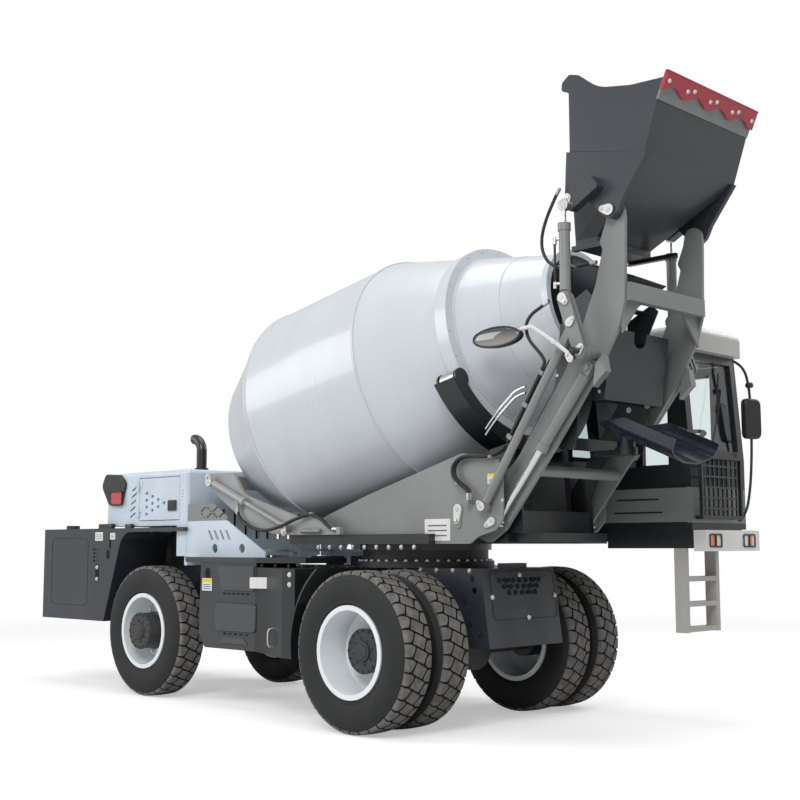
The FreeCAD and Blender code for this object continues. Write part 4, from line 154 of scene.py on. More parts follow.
# %% A material that is built by calls
class Finish:
    """A procedural material around one Principled shader."""

    def __init__(self, name, colour, roughness, **plain):
        self.material = bpy.data.materials.new(name)
        self.material.use_nodes = True
        self.tree = self.material.node_tree
        self.shader = self.tree.nodes["Principled BSDF"]
        self.colour = (*colour, 1.0)
        self.put("Base Color", self.colour)
        self.put("Roughness", roughness)
        self.material.diffuse_color = self.colour
        for socket, value in plain.items():
            self.put(socket.replace("_", " "), value)
        self.place = self.node("ShaderNodeTexCoord", {}, {}, "Object")

    def node(self, kind, settings, sockets, output=0):
        """A node of a kind. Its settings are set first, then values or links go to its sockets."""
        made = self.tree.nodes.new(kind)
        for key, value in settings.items():
            setattr(made, key, value)
        for key, value in sockets.items():
            if isinstance(value, Socket):
                self.tree.links.new(value.output, made.inputs[key])
            else:
                made.inputs[key].default_value = value
        return Socket(self, made.outputs[output])

    def put(self, socket, value):
        """Sets one of the shader's sockets, or links to it."""
        if isinstance(value, Socket):
            self.tree.links.new(value.output, self.shader.inputs[socket])
        else:
            self.shader.inputs[socket].default_value = value

    def noise(self, scale, detail=3.0, stretch=(1.0, 1.0, 1.0), roughness=0.5):
        """Cloudy noise from 0 to 1, with scale in waves per metre and stretch as a factor of each axis."""
        place = self.node("ShaderNodeMapping", {}, {"Vector": self.place, "Scale": stretch})
        sockets = {"Vector": place, "Scale": scale, "Detail": detail, "Roughness": roughness}
        return self.node("ShaderNodeTexNoise", {}, sockets)

    def axis(self, name):
        """One of the Object coordinates in metres: X forward, Y to the left, Z up."""
        return self.node("ShaderNodeSeparateXYZ", {}, {0: self.place}, name)

    def mixed(self, factor, first, second):
        """The first colour where the factor is 0 and the second where it is 1."""
        sockets = {"Factor": factor, 6: first, 7: second}
        return self.node("ShaderNodeMix", {"data_type": "RGBA"}, sockets, 2)

    def bump(self, height, distance, strength=1.0):
        """Feeds the shader's Normal with a height map whose full step is distance metres."""
        sockets = {"Height": height, "Distance": distance, "Strength": strength}
        self.put("Normal", self.node("ShaderNodeBump", {}, sockets))


def shade(colour, factor):
    """A colour made lighter or darker, with its alpha."""
    return (*[min(1.0, c * factor) for c in colour[:3]], 1.0)


print("node helpers ready")

# %% [markdown]
# ## Sprayed paint
#
# Most of this machine is plate steel with a coat of two-pack paint. Three things tell sprayed paint from
# plastic: the plate under it is never quite flat, so long reflections waver, the coat has a fine orange
# peel, and a thin film of cement dust settles low down. One function makes every colour of it, with the
# gloss as a number. The waves are a bump of about a millimetre or less, since real dents would need a far
# finer mesh.

# %% The paint recipe
DUST = (0.22, 0.21, 0.19)


def paint(name, colour, roughness=0.36, coat=0.25, dust=0.22, wave=0.0012, second=None):
    """Sprayed paint: its colour drifts slowly, dust grows as height falls, and its bump is wave plus peel.

    A second coat is (colour, axis, low, high): it covers the part between two places on an axis.
    """
    finish = Finish(name, colour, roughness, Coat_Roughness=0.12, Coat_Weight=coat)
    slow = finish.noise(2.3, 4.0)
    fine = finish.noise(34.0, 5.0)
    height = finish.axis("Z")
    low = 1.0 - height.between(0.25, 1.5)
    film = (slow * 0.75 + fine * 0.5).between(0.42, 0.95) * (low * 0.75 + 0.25) * dust
    drift = finish.mixed(slow.between(0.35, 0.7), shade(colour, 0.93), shade(colour, 1.06))
    if second:
        place = finish.axis(second[1])
        inside = (place > second[2]) * (place < second[3])
        drift = finish.mixed(inside, drift, (*second[0], 1.0))
    finish.put("Base Color", finish.mixed(film, drift, (*DUST, 1.0)))
    finish.put("Roughness", film * 0.5 + (fine - 0.5) * 0.08 + roughness)
    finish.bump(finish.noise(1.7, 2.0) + finish.noise(420.0, 2.0) * 0.02, wave)
    return finish.material


ARM_GREY = (0.235, 0.240, 0.240)
BLACK = (0.010, 0.011, 0.014)
FINISH = {
    "frame_dark": paint("dark chassis paint", (0.022, 0.027, 0.036), 0.36, 0.3, 0.08),
    # The second coat paints the box black between these two places: painted shade of the recessed flare.
    "box_dark": paint("side box paint with painted flare shade", (0.034, 0.036, 0.040), 0.46, 0.15, 0.04,
                      second=((0.006, 0.007, 0.009), "X", ZERO[0] - 1.36, ZERO[0] - 0.60)),
    "arm_grey": paint("mid grey paint", ARM_GREY, 0.40, 0.2, 0.12),
    "hopper_slate": paint("slate hopper paint", (0.030, 0.035, 0.044), 0.42, 0.2, 0.08),
    "hood_pale": paint("pale hood paint", (0.62, 0.71, 0.80), 0.28, 0.35, 0.05, 0.0007),
    "fairing_pale": paint("pale fairing paint", (0.62, 0.71, 0.80), 0.28, 0.35, 0.05, 0.0007,
                          second=(ARM_GREY, "Z", 1.452, 1.8)),
    # Bumper and roof wear one cream paint: the bumper's copy is brighter as painted light, the roof's darker
    # as painted shade.
    "cab_white": paint("white cab paint", (0.90, 0.90, 0.88), 0.30, 0.35, 0.04, 0.0005),
    "roof_white": paint("roof paint darkened as painted shade", (0.58, 0.58, 0.56), 0.36, 0.25, 0.08, 0.0005),
    "support_grey": paint("light grey paint", (0.33, 0.34, 0.34), 0.38, 0.2, 0.08),
    "black": paint("satin black paint", BLACK, 0.34, 0.25, 0.12),
    "cab_dark": paint("cab shell paint", BLACK, 0.30, 0.3, 0.10, 0.0008,
                      second=(ARM_GREY, "Z", 1.0, 1.655)),
    "red": paint("red edge paint", (0.46, 0.016, 0.040), 0.30, 0.4, 0.04, 0.0004),
    "step_grey": paint("step grey paint", (0.50, 0.49, 0.46), 0.42, 0.1, 0.18),
    "cast_dark": paint("painted castings", (0.022, 0.023, 0.026), 0.50, 0.1, 0.22, 0.0006),
    "rim_white": paint("white rim paint", (0.88, 0.92, 0.95), 0.30, 0.30, 0.08, 0.0003),
    "chute_blue": paint("dark chute paint", (0.013, 0.018, 0.032), 0.28, 0.45, 0.10),
}
print("paints:", len(FINISH))

# %% [markdown]
# ## The drum's pale coat
#
# The drum is rolled from cones of plate and welded round. Its coat is the same kind of paint, but the eye
# reads the long soft reflection, and that breaks at each rolled section. So its bump has slow waves along
# the drum, and very faint rings where the dust of loading has been wiped round by the turning.

# %% Drum paint
def drum_coat(name):
    """Pale gloss paint with broad waves and a faint grey veil that is streaked round the drum."""
    colour = (0.60, 0.64, 0.68)
    finish = Finish(name, colour, 0.30, Coat_Weight=0.4, Coat_Roughness=0.1)
    veil = finish.noise(1.1, 5.0, (4.0, 1.0, 1.0))
    specks = finish.noise(55.0, 2.0)
    factor = veil.between(0.4, 0.8) * 0.5 + specks.between(0.62, 0.8) * 0.12
    finish.put("Base Color", finish.mixed(factor, shade(colour, 1.02), shade(colour, 0.90)))
    finish.put("Roughness", veil * 0.1 + 0.24)
    finish.bump(finish.noise(2.2, 1.0, (1.0, 0.5, 0.5)) + finish.noise(500.0, 1.0) * 0.02, 0.0022)
    return finish.material


FINISH["drum_pale"] = drum_coat("pale drum paint")

# %% [markdown]
# ## Rubber, steel, glass and lamps
#
# Rubber is dark but never black: it is rough, with a little grey bloom, and dustier near the road. Bare
# steel is for the drum's rollers and the ends of pins, with a fine grain in one direction. Piston rods are
# plated and nearly a mirror. Cab glass lets the background through with a slight tint. A lens is coloured
# plastic with a clear coat and fine ribs that show as stripes.

# %% Other finishes
def rubber(name, colour, roughness=0.72):
    """Rubber whose grey bloom follows slow noise, with a fine grain in its bump."""
    finish = Finish(name, colour, roughness)
    bloom = finish.noise(7.0, 4.0).between(0.35, 0.8)
    low = 1.0 - finish.axis("Z").between(0.0, 0.5)
    grey = bloom * 0.10 + low * 0.05
    finish.put("Base Color", finish.mixed(grey, (*colour, 1.0), (0.085, 0.082, 0.078, 1.0)))
    finish.put("Roughness", bloom * 0.12 + roughness)
    finish.bump(finish.noise(260.0, 3.0), 0.0004)
    return finish.material


def metal(name, colour, roughness, grain=(1.0, 1.0, 1.0)):
    """Bare metal. Stretched noise lays its grain, which changes roughness and a very shallow bump."""
    finish = Finish(name, colour, roughness, Metallic=1.0)
    lines = finish.noise(90.0, 4.0, grain)
    finish.put("Roughness", lines * 0.16 + (roughness - 0.08))
    finish.put("Base Color", finish.mixed(lines, shade(colour, 0.85), shade(colour, 1.1)))
    finish.bump(lines, 0.00015)
    return finish.material


def glass(name, colour):
    """Tinted safety glass with a trace of dust that dulls it unevenly."""
    finish = Finish(name, colour, 0.03, Transmission_Weight=1.0, IOR=1.45)
    finish.put("Roughness", finish.noise(6.0, 4.0).between(0.5, 0.9) * 0.06 + 0.02)
    return finish.material


def lens(name, colour, glow=0.0):
    """A lamp's moulded lens: glossy plastic with fine ribs behind its face."""
    finish = Finish(name, colour, 0.12, Coat_Weight=1.0, Coat_Roughness=0.04)
    ribs = (finish.axis("Z") * 900.0).sine() * 0.5 + 0.5
    finish.put("Base Color", finish.mixed(ribs, shade(colour, 0.7), shade(colour, 1.25)))
    finish.bump(ribs, 0.0006)
    if glow:
        finish.put("Emission Color", (*colour, 1.0))
        finish.put("Emission Strength", glow)
    return finish.material


def moulded(name, colour, roughness=0.5, grain=300.0):
    """Moulded plastic or vinyl with a pebbled grain."""
    finish = Finish(name, colour, roughness)
    pebble = finish.noise(grain, 2.0)
    finish.put("Base Color", finish.mixed(finish.noise(5.0, 3.0), shade(colour, 0.85), shade(colour, 1.15)))
    finish.put("Roughness", pebble * 0.15 + (roughness - 0.07))
    finish.bump(pebble, 0.0003)
    return finish.material


FINISH["tyre"] = rubber("tyre rubber", (0.008, 0.0085, 0.0095), 0.66)
FINISH["hose"] = rubber("hose rubber", (0.014, 0.014, 0.015), 0.48)
FINISH["steel"] = metal("turned steel", (0.56, 0.56, 0.55), 0.34, (6.0, 1.0, 1.0))
FINISH["zinc"] = metal("zinc plated fasteners", (0.62, 0.62, 0.60), 0.38)
FINISH["chrome"] = metal("plated piston rods", (0.78, 0.79, 0.80), 0.14)
FINISH["glass"] = glass("tinted cab glass", (0.72, 0.80, 0.80))
FINISH["lens_red"] = lens("red lens", (0.55, 0.010, 0.012))
FINISH["lens_amber"] = lens("amber lens", (0.85, 0.24, 0.01), 0.15)
FINISH["lens_clear"] = lens("clear lens", (0.78, 0.80, 0.80), 0.1)
FINISH["vinyl"] = moulded("black seat vinyl", (0.016, 0.016, 0.017), 0.6)
FINISH["plastic"] = moulded("black moulded plastic", (0.015, 0.015, 0.016), 0.42, 500.0)
FINISH["label_white"] = moulded("white label film", (0.78, 0.78, 0.76), 0.45)
FINISH["label_yellow"] = moulded("yellow label film", (0.80, 0.62, 0.03), 0.42)
FINISH["mirror"] = metal("mirror glass", (0.86, 0.88, 0.90), 0.10)
print("finishes:", len(FINISH))

# %% [markdown]
# ## Every solid gets its finish
#
# A solid's mesh is left as it is; only its material slots change. The list is by finish, so a whole colour
# can be moved at once, and an assertion stops the script if a solid was forgotten.

# %% Finishes of the frame's own solids
WEARS = {
    "frame_dark": ["chassis_frame", "rear_tanks"],
    "box_dark": ["side_boxes"],
    "arm_grey": ["loader_arms", "side_frames", "bell_cranks", "tie_rods", "lift_barrels",
                 "tilt_barrels"],
    "hopper_slate": ["hopper", "hopper_gate", "feed_hopper", "discharge_hood"],
    "hood_pale": ["engine_hood", "hood_door_left", "hood_door_right"],
    "fairing_pale": ["hood_fairings"],
    "cab_dark": ["cab_shell"],
    "cab_white": ["bumper"],
    "roof_white": ["cab_roof"],
    "support_grey": ["tail_support"],
    "black": ["cab_floor", "turntable_deck", "drum_saddle", "mouth_frame", "cab_door", "cab_guard",
              "exhaust_pipe", "convex_mirror"],
    "red": ["cutting_edge"],
    "step_grey": ["ladder"],
    "cast_dark": ["slew_ring", "driveline", "engine_block", "front_axle", "rear_axle", "knuckle_left",
                  "knuckle_right", "drum_drive"],
    "rim_white": ["front_rims_left", "front_rims_right", "rear_rim_left", "rear_rim_right"],
    "chute_blue": ["discharge_chute"],
    "drum_pale": ["drum_shell"],
    "tyre": ["front_tyres_left", "front_tyres_right", "rear_tyre_left", "rear_tyre_right"],
    "steel": ["drum_roller_left", "drum_roller_right"],
    "chrome": ["lift_rods", "tilt_rods", "steering_rod"],
    "glass": ["cab_glass"],
    "vinyl": ["cab_seat"],
    "plastic": ["tail_lamps"],
    "hose": ["deck_hoses", "tie_rod_hoses", "tilt_hoses"],
}


def wear(obj, finish):
    """Gives an object one finish in place of what it had."""
    obj.data.materials.clear()
    obj.data.materials.append(FINISH[finish])


for finish_name, node_names in WEARS.items():
    for node_name in node_names:
        wear(frame["nodes"][node_name], finish_name)
forgotten = set(frame["nodes"]) - {n for names in WEARS.values() for n in names}
assert not forgotten, forgotten
print("solids dressed:", sum(len(names) for names in WEARS.values()))

# %% [markdown]
# ## Meshes from arrays
#
# A new piece could be modelled by hand, but here every shape is a formula: a grid of points that is worked
# out as one array, and faces that are the grid's own cells. `piece` turns such arrays into an object at the
# origin, gives each group of faces its finish, and lets it ride on a body. Normals are made to point
# outwards, and edges sharper than a set angle stay crisp.

# %% Faces of a grid, and a piece from arrays
import bmesh


def full_turn(steps):
    """Angles evenly round a full turn, in radians, from 0 on."""
    return np.linspace(0, 2 * np.pi, steps, endpoint=False)


def grid_faces(rows, columns, close_rows=False, close_columns=False):
    """The cells of a grid of points, as quads. A closed direction joins its last line to its first."""
    row = np.arange(rows if close_rows else rows - 1)
    column = np.arange(columns if close_columns else columns - 1)
    row, column = np.meshgrid(row, column, indexing="ij")
    next_row = (row + 1) % rows
    next_column = (column + 1) % columns
    corners = [row * columns + column, next_row * columns + column,
               next_row * columns + next_column, row * columns + next_column]
    return np.stack(corners, axis=-1).reshape(-1, 4)


def piece(name, points, groups, body, crisp=32.0):
    """An object from (n, 3) points and groups of (faces, finish name). It rides on a body."""
    points = np.ascontiguousarray(np.asarray(points, dtype=np.float32).reshape(-1, 3))
    faces = [np.asarray(group, dtype=np.int32) for group, _ in groups]
    finishes = list(dict.fromkeys(finish for _, finish in groups))
    corners = np.concatenate([f.ravel() for f in faces])
    sizes = np.concatenate([np.full(len(f), f.shape[1], dtype=np.int32) for f in faces])
    finish_index = np.concatenate([np.full(len(f), finishes.index(g[1]), dtype=np.int32)
                                   for f, g in zip(faces, groups)])
    starts = np.concatenate([[0], np.cumsum(sizes)[:-1]]).astype(np.int32)
    mesh = bpy.data.meshes.new(name)
    mesh.vertices.add(len(points))
    mesh.vertices.foreach_set("co", points.ravel())
    mesh.loops.add(len(corners))
    mesh.loops.foreach_set("vertex_index", corners)
    mesh.polygons.add(len(sizes))
    mesh.polygons.foreach_set("loop_start", starts)
    mesh.update(calc_edges=True)
    for finish in finishes:
        mesh.materials.append(FINISH[finish])
    mesh.polygons.foreach_set("material_index", finish_index)
    mesh.polygons.foreach_set("use_smooth", np.ones(len(sizes), dtype=bool))
    shell = bmesh.new()
    shell.from_mesh(mesh)
    bmesh.ops.recalc_face_normals(shell, faces=shell.faces)
    shell.to_mesh(mesh)
    shell.free()
    mesh.set_sharp_from_angle(angle=math.radians(crisp))
    made = bpy.data.objects.new(name, mesh)
    scene.collection.objects.link(made)
    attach(made, body)
    return made


def stacked(shapes):
    """Several (points, groups) shapes as one. The faces of each count on from the points before it."""
    point_lists = [np.asarray(points).reshape(-1, 3) for points, _ in shapes]
    counts = np.cumsum([0] + [len(points) for points in point_lists])
    groups = [(np.asarray(faces) + start, finish)
              for (_, shape_groups), start in zip(shapes, counts) for faces, finish in shape_groups]
    return np.concatenate(point_lists), groups


# %% [markdown]
# ## Three ways to fill space
#
# Nearly everything that follows is one of three shapes. A *turned* shape is a profile carried round an
# axis. A *swept* shape is an outline carried along a path. A *slab* is two grids of points, a top and a
# bottom, closed by walls along their edges; it makes tread blocks and plates alike.

# %% Turned, swept and slab shapes
def basis(axis):
    """Two unit vectors square to each axis and to each other, for one axis or an array of them."""
    axis = np.asarray(axis, float)
    axis = axis / np.linalg.norm(axis, axis=-1, keepdims=True)
    other = np.where(np.abs(axis[..., 2:3]) > 0.9, [1.0, 0.0, 0.0], [0.0, 0.0, 1.0])
    first = np.cross(other, axis)
    first = first / np.linalg.norm(first, axis=-1, keepdims=True)
    return axis, first, np.cross(axis, first)


def turned(profile, centre, axis, finish, steps=48):
    """A closed profile of (along the axis, distance from it), turned about the axis: a ring of sections."""
    profile = np.asarray(profile, float)
    along, first, second = basis(axis)
    turn = full_turn(steps)[:, None, None]
    reach = profile[None, :, 1:2]
    points = centre + profile[None, :, 0:1] * along + reach * (np.cos(turn) * first + np.sin(turn) * second)
    return points.reshape(-1, 3), [(grid_faces(steps, len(profile), True, True), finish)]


def swept(path, outline, finish, up=(0.0, 0.0, 1.0), closed=False):
    """An outline of (sideways, upwards) carried along a path, with each section square to the path."""
    path = np.asarray(path, float)
    outline = np.asarray(outline, float)
    if closed:
        ahead = np.roll(path, -1, axis=0) - np.roll(path, 1, axis=0)
    else:
        ahead = np.gradient(path, axis=0)
    ahead /= np.linalg.norm(ahead, axis=1, keepdims=True)
    side = np.cross(ahead, up)
    side /= np.linalg.norm(side, axis=1, keepdims=True)
    top = np.cross(side, ahead)
    points = path[:, None] + outline[None, :, 0:1] * side[:, None] + outline[None, :, 1:2] * top[:, None]
    rows, columns = points.shape[:2]
    groups = [(grid_faces(rows, columns, closed, True), finish)]
    if not closed:
        ends = np.array([np.arange(columns), np.arange(columns) + (rows - 1) * columns])
        groups.append((ends, finish))
    return points.reshape(-1, 3), groups


def circle(radius, steps=12):
    """Points of a circle, as an outline for a swept shape."""
    turn = full_turn(steps)
    return np.stack([radius * np.cos(turn), radius * np.sin(turn)], axis=1)


def slab(top, bottom, finish, top_finish=None):
    """Two grids of points of one size, closed into a solid by four walls along their edges."""
    rows, columns = top.shape[:2]
    count = rows * columns
    cells = grid_faces(rows, columns)
    index = np.arange(count).reshape(rows, columns)
    rim = np.concatenate([index[0, :-1], index[:-1, -1], index[-1, :0:-1], index[:0:-1, 0]])
    after = np.roll(rim, -1)
    walls = np.stack([rim, rim + count, after + count, after], axis=1)
    points = np.concatenate([top.reshape(-1, 3), bottom.reshape(-1, 3)])
    return points, [(cells, top_finish or finish), (cells[:, ::-1] + count, finish), (walls, finish)]


# %% [markdown]
# ## Bolts by the hundred
#
# Bolt heads are what gives plate work its scale. Each is a washer, a six-sided head and a chamfer, only a
# few dozen faces. A hexagon is a circle whose radius is divided by the cosine of the angle to the middle of
# its flat, so one array of twelve directions gives all rings. All bolts of one plate are one array: places
# times one bolt.

# %% Hexagon bolts
def bolt_heads(places, normals, size, finish="zinc"):
    """Bolt heads of a size over their flats, standing at places along normals: washer, hexagon, chamfer."""
    places = np.asarray(places, float).reshape(-1, 3)
    normals = np.broadcast_to(np.asarray(normals, float), places.shape)
    turn = np.arange(12) * np.pi / 6
    flat = 0.5 / np.cos((turn + np.pi / 6) % (np.pi / 3) - np.pi / 6)
    round_line = np.ones(12)
    rings = [(-0.10, 0.95 * round_line), (0.14, 0.95 * round_line), (0.14, flat), (0.58, flat),
             (0.68, 0.42 * round_line)]
    height = np.array([h for h, _ in rings])[:, None, None]
    reach = np.array([r for _, r in rings])[:, :, None]
    along, first, second = (v[:, None, None, :] for v in basis(normals))
    spread = reach * (np.cos(turn)[:, None] * first + np.sin(turn)[:, None] * second)
    points = places[:, None, None, :] + size * (height * along + spread)
    count = len(places)
    one = len(rings) * 12
    shift = (np.arange(count) * one)[:, None, None]
    sides = (grid_faces(len(rings), 12, False, True)[None] + shift).reshape(-1, 4)
    caps = np.stack([np.arange(12), np.arange(12) + one - 12])[None] + shift
    return points.reshape(-1, 3), [(sides, finish), (caps.reshape(-1, 12), finish)]


def side_bolts(places, y, side, size, finish="zinc"):
    """Bolt heads at (forward, up) places on a face that looks to a side."""
    return bolt_heads([at(x, side * y, z) for x, z in places], (0, side, 0), size, finish)


print("shape helpers ready")

# %% [markdown]
# ## Tyres with a real tread
#
# The tyres are traction pattern truck tyres: a row of wide slanting blocks along the middle and a row of
# pointed blocks on each shoulder, 36 to a turn, with grooves that zigzag between them. A texture would show
# its flatness at the outline of the tyre, so each block is a slab bent round the wheel. A block is worked
# out on the flat tread, as (across, along), and the distance along becomes an angle when it is wrapped on
# the carcass.

# %% Tyre sizes
FRONT_Y = np.abs(np.array(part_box("front_tyres_left"))[:, 1] - ZERO[1])
REAR_BOX = np.array(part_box("rear_tyre_left"))
TYRE_W = float(REAR_BOX[1, 1] - REAR_BOX[0, 1])
REAR_X = float(REAR_BOX.mean(axis=0)[0] - ZERO[0])
TREAD_HALF = 0.116
TREAD_DEPTH = 0.015
CROWN_DROP = 0.005
SHOULDER_AT = 0.106
SHOULDER_W = 0.014
SHOULDER_DROP = 0.026
BEAD_R = 0.296
PITCHES = 36
PITCH = 2 * np.pi * TYRE_R / PITCHES
print("tyre width", round(TYRE_W, 3), "m, one pitch of the tread", round(PITCH * 1000, 1), "mm")


# %% One pitch of the tread
def crown(across):
    """How far the tread drops below the tyre's radius: a shallow square law, then a steep one outside."""
    edge = np.clip((np.abs(across) - SHOULDER_AT) / SHOULDER_W, 0.0, None)
    return CROWN_DROP * (across / TREAD_HALF) ** 2 + SHOULDER_DROP * edge ** 2


def wrapped(across, along, depth):
    """Points of the tread on a wheel at zero that turns about Y, depth below the surface."""
    radius = TYRE_R - crown(across) - depth
    angle = along / TYRE_R
    return np.stack([radius * np.sin(angle), across, radius * np.cos(angle)], axis=-1)


def block(across, along):
    """A tread block between its top on the surface and its foot inside the carcass."""
    middle_across, middle_along = across.mean(), along.mean()
    foot_across = middle_across + (across - middle_across) * 1.05
    foot_along = middle_along + (along - middle_along) * 1.04
    foot = wrapped(foot_across, foot_along, TREAD_DEPTH + 0.003)
    return slab(wrapped(across, along, 0.0), foot, "tyre", "tread")


def middle_block():
    """The slanting middle block: a rectangle 100 by 74 mm, turned 25 degrees."""
    lengths = np.linspace(-0.050, 0.050, 5)
    long_way, short_way = np.meshgrid(lengths, np.linspace(-0.037, 0.037, 4), indexing="ij")
    slant = math.radians(25)
    across = long_way * math.cos(slant) - short_way * math.sin(slant)
    return block(across, long_way * math.sin(slant) + short_way * math.cos(slant))


def shoulder_block(side):
    """A shoulder block: straight at the tyre's edge, and cut to a slanting point beside the middle row."""
    across = np.array([-0.119, -0.112, -0.104, -0.088, -0.074, -0.060, -0.047])
    high = np.interp(across, [-0.119, -0.076, -0.060, -0.047], [0.000, 0.001, -0.020, -0.046])
    low = np.interp(across, [-0.119, -0.068, -0.047], [-0.083, -0.074, -0.060])
    share = np.linspace(0, 1, 4)
    along = low[:, None] + (high - low)[:, None] * share
    return block(side * np.repeat(across[:, None], 4, axis=1), side * along)


def tread():
    """All blocks of a tyre: one pitch, turned round the wheel."""
    points, groups = stacked([middle_block(), shoulder_block(1), shoulder_block(-1)])
    angle = np.arange(PITCHES) * 2 * np.pi / PITCHES
    turn = np.zeros((PITCHES, 3, 3))
    turn[:, 0, 0] = turn[:, 2, 2] = np.cos(angle)
    turn[:, 0, 2] = np.sin(angle)
    turn[:, 2, 0] = -np.sin(angle)
    turn[:, 1, 1] = 1.0
    all_points = np.einsum("kij,nj->kni", turn, points)
    shift = (np.arange(PITCHES) * len(points))[:, None, None]
    all_groups = [((faces[None] + shift).reshape(-1, faces.shape[1]), finish) for faces, finish in groups]
    return all_points.reshape(-1, 3), all_groups


# %% [markdown]
# ## The carcass
#
# Under the tread the tyre is one smooth closed ring. Its profile goes from the bead up a bulging side wall,
# with a raised rim protector and two fine moulding lines, over the shoulder to the groove floor. The two
# halves mirror each other, so half the profile is enough.

# %% Carcass and all six tyres
def carcass():
    """The closed ring under the tread, from half a profile of (across, radius) and its mirror image."""
    bulge = TYRE_W / 2
    half = [(0.112, BEAD_R - 0.012), (0.121, BEAD_R), (0.119, BEAD_R + 0.018), (0.133, BEAD_R + 0.026),
            (0.140, BEAD_R + 0.036), (0.138, BEAD_R + 0.046), (0.143, BEAD_R + 0.062),
            (bulge - 0.003, BEAD_R + 0.082), (bulge - 0.0005, BEAD_R + 0.110),
            (bulge - 0.0005, BEAD_R + 0.132), (bulge - 0.004, BEAD_R + 0.152),
            (bulge - 0.003, BEAD_R + 0.155), (bulge - 0.006, BEAD_R + 0.162),
            (bulge - 0.009, BEAD_R + 0.178), (bulge - 0.009, BEAD_R + 0.181),
            (bulge - 0.014, BEAD_R + 0.190), (0.127, BEAD_R + 0.212),
            (0.119, TYRE_R - 0.030), (0.110, TYRE_R - 0.020), (0.070, TYRE_R - TREAD_DEPTH - 0.0018),
            (0.030, TYRE_R - TREAD_DEPTH - 0.0003)]
    profile = half + [(-across, radius) for across, radius in reversed(half)]
    return turned(profile, np.zeros(3), (0, 1, 0), "tyre", 120)


def add_tyres(name, body, places, nodes):
    """Tyres at places, as one piece that stands for the plain solids."""
    one_points, one_groups = stacked([carcass(), tread()])
    shapes = [(one_points + place, one_groups) for place in places]
    made = piece(name, *stacked(shapes), body, crisp=28.0)
    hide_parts(nodes)
    return made


def tread_top(name):
    """The worn tops of the blocks: rubber that road dust has turned grey in patches."""
    finish = Finish(name, (0.16, 0.155, 0.145), 0.85)
    dusty = finish.noise(16.0, 4.0).between(0.3, 0.75)
    finish.put("Base Color", finish.mixed(dusty, (0.115, 0.112, 0.106, 1.0), (0.20, 0.195, 0.18, 1.0)))
    finish.bump(finish.noise(330.0, 3.0), 0.0005)
    return finish.material


FINISH["tread"] = tread_top("dusty tread")
SIDES = (("left", 1), ("right", -1))
WHEELS = []
for side_name, side in SIDES:
    outer_y = side * (FRONT_Y.max() - TYRE_W / 2)
    inner_y = side * (FRONT_Y.min() + TYRE_W / 2)
    rear_y = side * abs(REAR_BOX.mean(axis=0)[1] - ZERO[1])
    twins = [at(0, outer_y, TYRE_R), at(0, inner_y, TYRE_R)]
    front_body = f"front_wheels_{side_name}"
    add_tyres(f"front_tyre_pair_{side_name}", front_body, twins, f"front_tyres_{side_name}")
    single = [at(REAR_X, rear_y, TYRE_R)]
    add_tyres(f"rear_tyre_ring_{side_name}", f"rear_wheel_{side_name}", single, f"rear_tyre_{side_name}")
    WHEELS.append((side_name, side, outer_y, inner_y, rear_y))
tyre_faces = sum(len(o.data.polygons) for o in scene.objects if o.type == "MESH" and "_tyre_" in o.name)
print("tyre faces:", tyre_faces)

# %% [markdown]
# ## Small flat pieces
#
# Keeper plates, label plates and lamp backs are all one idea: an outline with a thickness and a small
# chamfer. An egg outline is the outer tangent line round two circles, which is how a keeper that holds a
# pin at one end and its bolt at the other is drawn. A rounded box is four quarter circles joined by
# straight sides.

# %% Outlines and plates
def egg(first, second, distance, steps=28):
    """The line round two circles a distance apart: each direction takes the circle that reaches further."""
    turn = full_turn(steps)
    far = distance * np.cos(turn) + second > first
    radius = np.where(far, second, first)
    return np.stack([radius * np.cos(turn) + far * distance, radius * np.sin(turn)], axis=1)


def rounded(width, height, radius, corner=4):
    """A rectangle about zero with its corners as quarter circles."""
    turn = np.linspace(0, np.pi / 2, corner)
    quarter = np.stack([np.cos(turn), np.sin(turn)], axis=1) * radius
    centre = np.array([width / 2 - radius, height / 2 - radius])
    spin = [np.array([[1, 0], [0, 1]]), np.array([[0, 1], [-1, 0]]), np.array([[-1, 0], [0, -1]]),
            np.array([[0, -1], [1, 0]])]
    signs = np.array([[1, 1], [-1, 1], [-1, -1], [1, -1]])
    return np.concatenate([quarter @ m + centre * s for m, s in zip(spin, signs)])


def face_axes(across, up):
    """The unit vectors of a flat face: across, up and out of it, which is across x up."""
    across = np.asarray(across, float) / np.linalg.norm(across)
    up = np.asarray(up, float) / np.linalg.norm(up)
    return across, up, np.cross(across, up)


def plate(outline, place, across, up, thickness, finish, chamfer=0.001):
    """An outline of (across, up), raised out of its face, with a chamfered edge."""
    across, up, out = face_axes(across, up)
    outline = np.asarray(outline, float)
    centre = outline.mean(axis=0)
    reach = outline - centre
    inner = centre + reach * (1 - chamfer / np.linalg.norm(reach, axis=1, keepdims=True))
    rings = [(outline, 0.0), (outline, thickness - chamfer), (inner, thickness)]
    points = np.stack([place + o[:, :1] * across + o[:, 1:] * up + h * out for o, h in rings])
    count = len(outline)
    caps = np.stack([np.arange(count)[::-1], np.arange(count) + 2 * count])
    return points.reshape(-1, 3), [(grid_faces(3, count, False, True), finish), (caps, finish)]


def keeper(place, turn, side, size=0.030, tail=0.020, reach=0.045, finish="keeper"):
    """A pin's keeper: an egg plate that points along turn degrees, with its bolt and the pin's end."""
    along = np.array([math.cos(math.radians(turn)), 0.0, math.sin(math.radians(turn))])
    up = np.cross([0.0, side, 0.0], along)
    face = np.asarray(place, float)
    shapes = [plate(egg(size, tail, reach), face, along, up, 0.007, finish, 0.0012),
              plate(circle(size * 0.42, 16), face + [0, side * 0.007, 0], along, up, 0.004, "steel", 0.001)]
    bolt = face + along * reach + [0, side * 0.007, 0]
    return shapes + [bolt_heads([bolt], (0, side, 0), tail * 0.85)]


FINISH["keeper"] = paint("white keeper plates", (0.74, 0.74, 0.73), 0.42, 0.2, 0.3, 0.0)
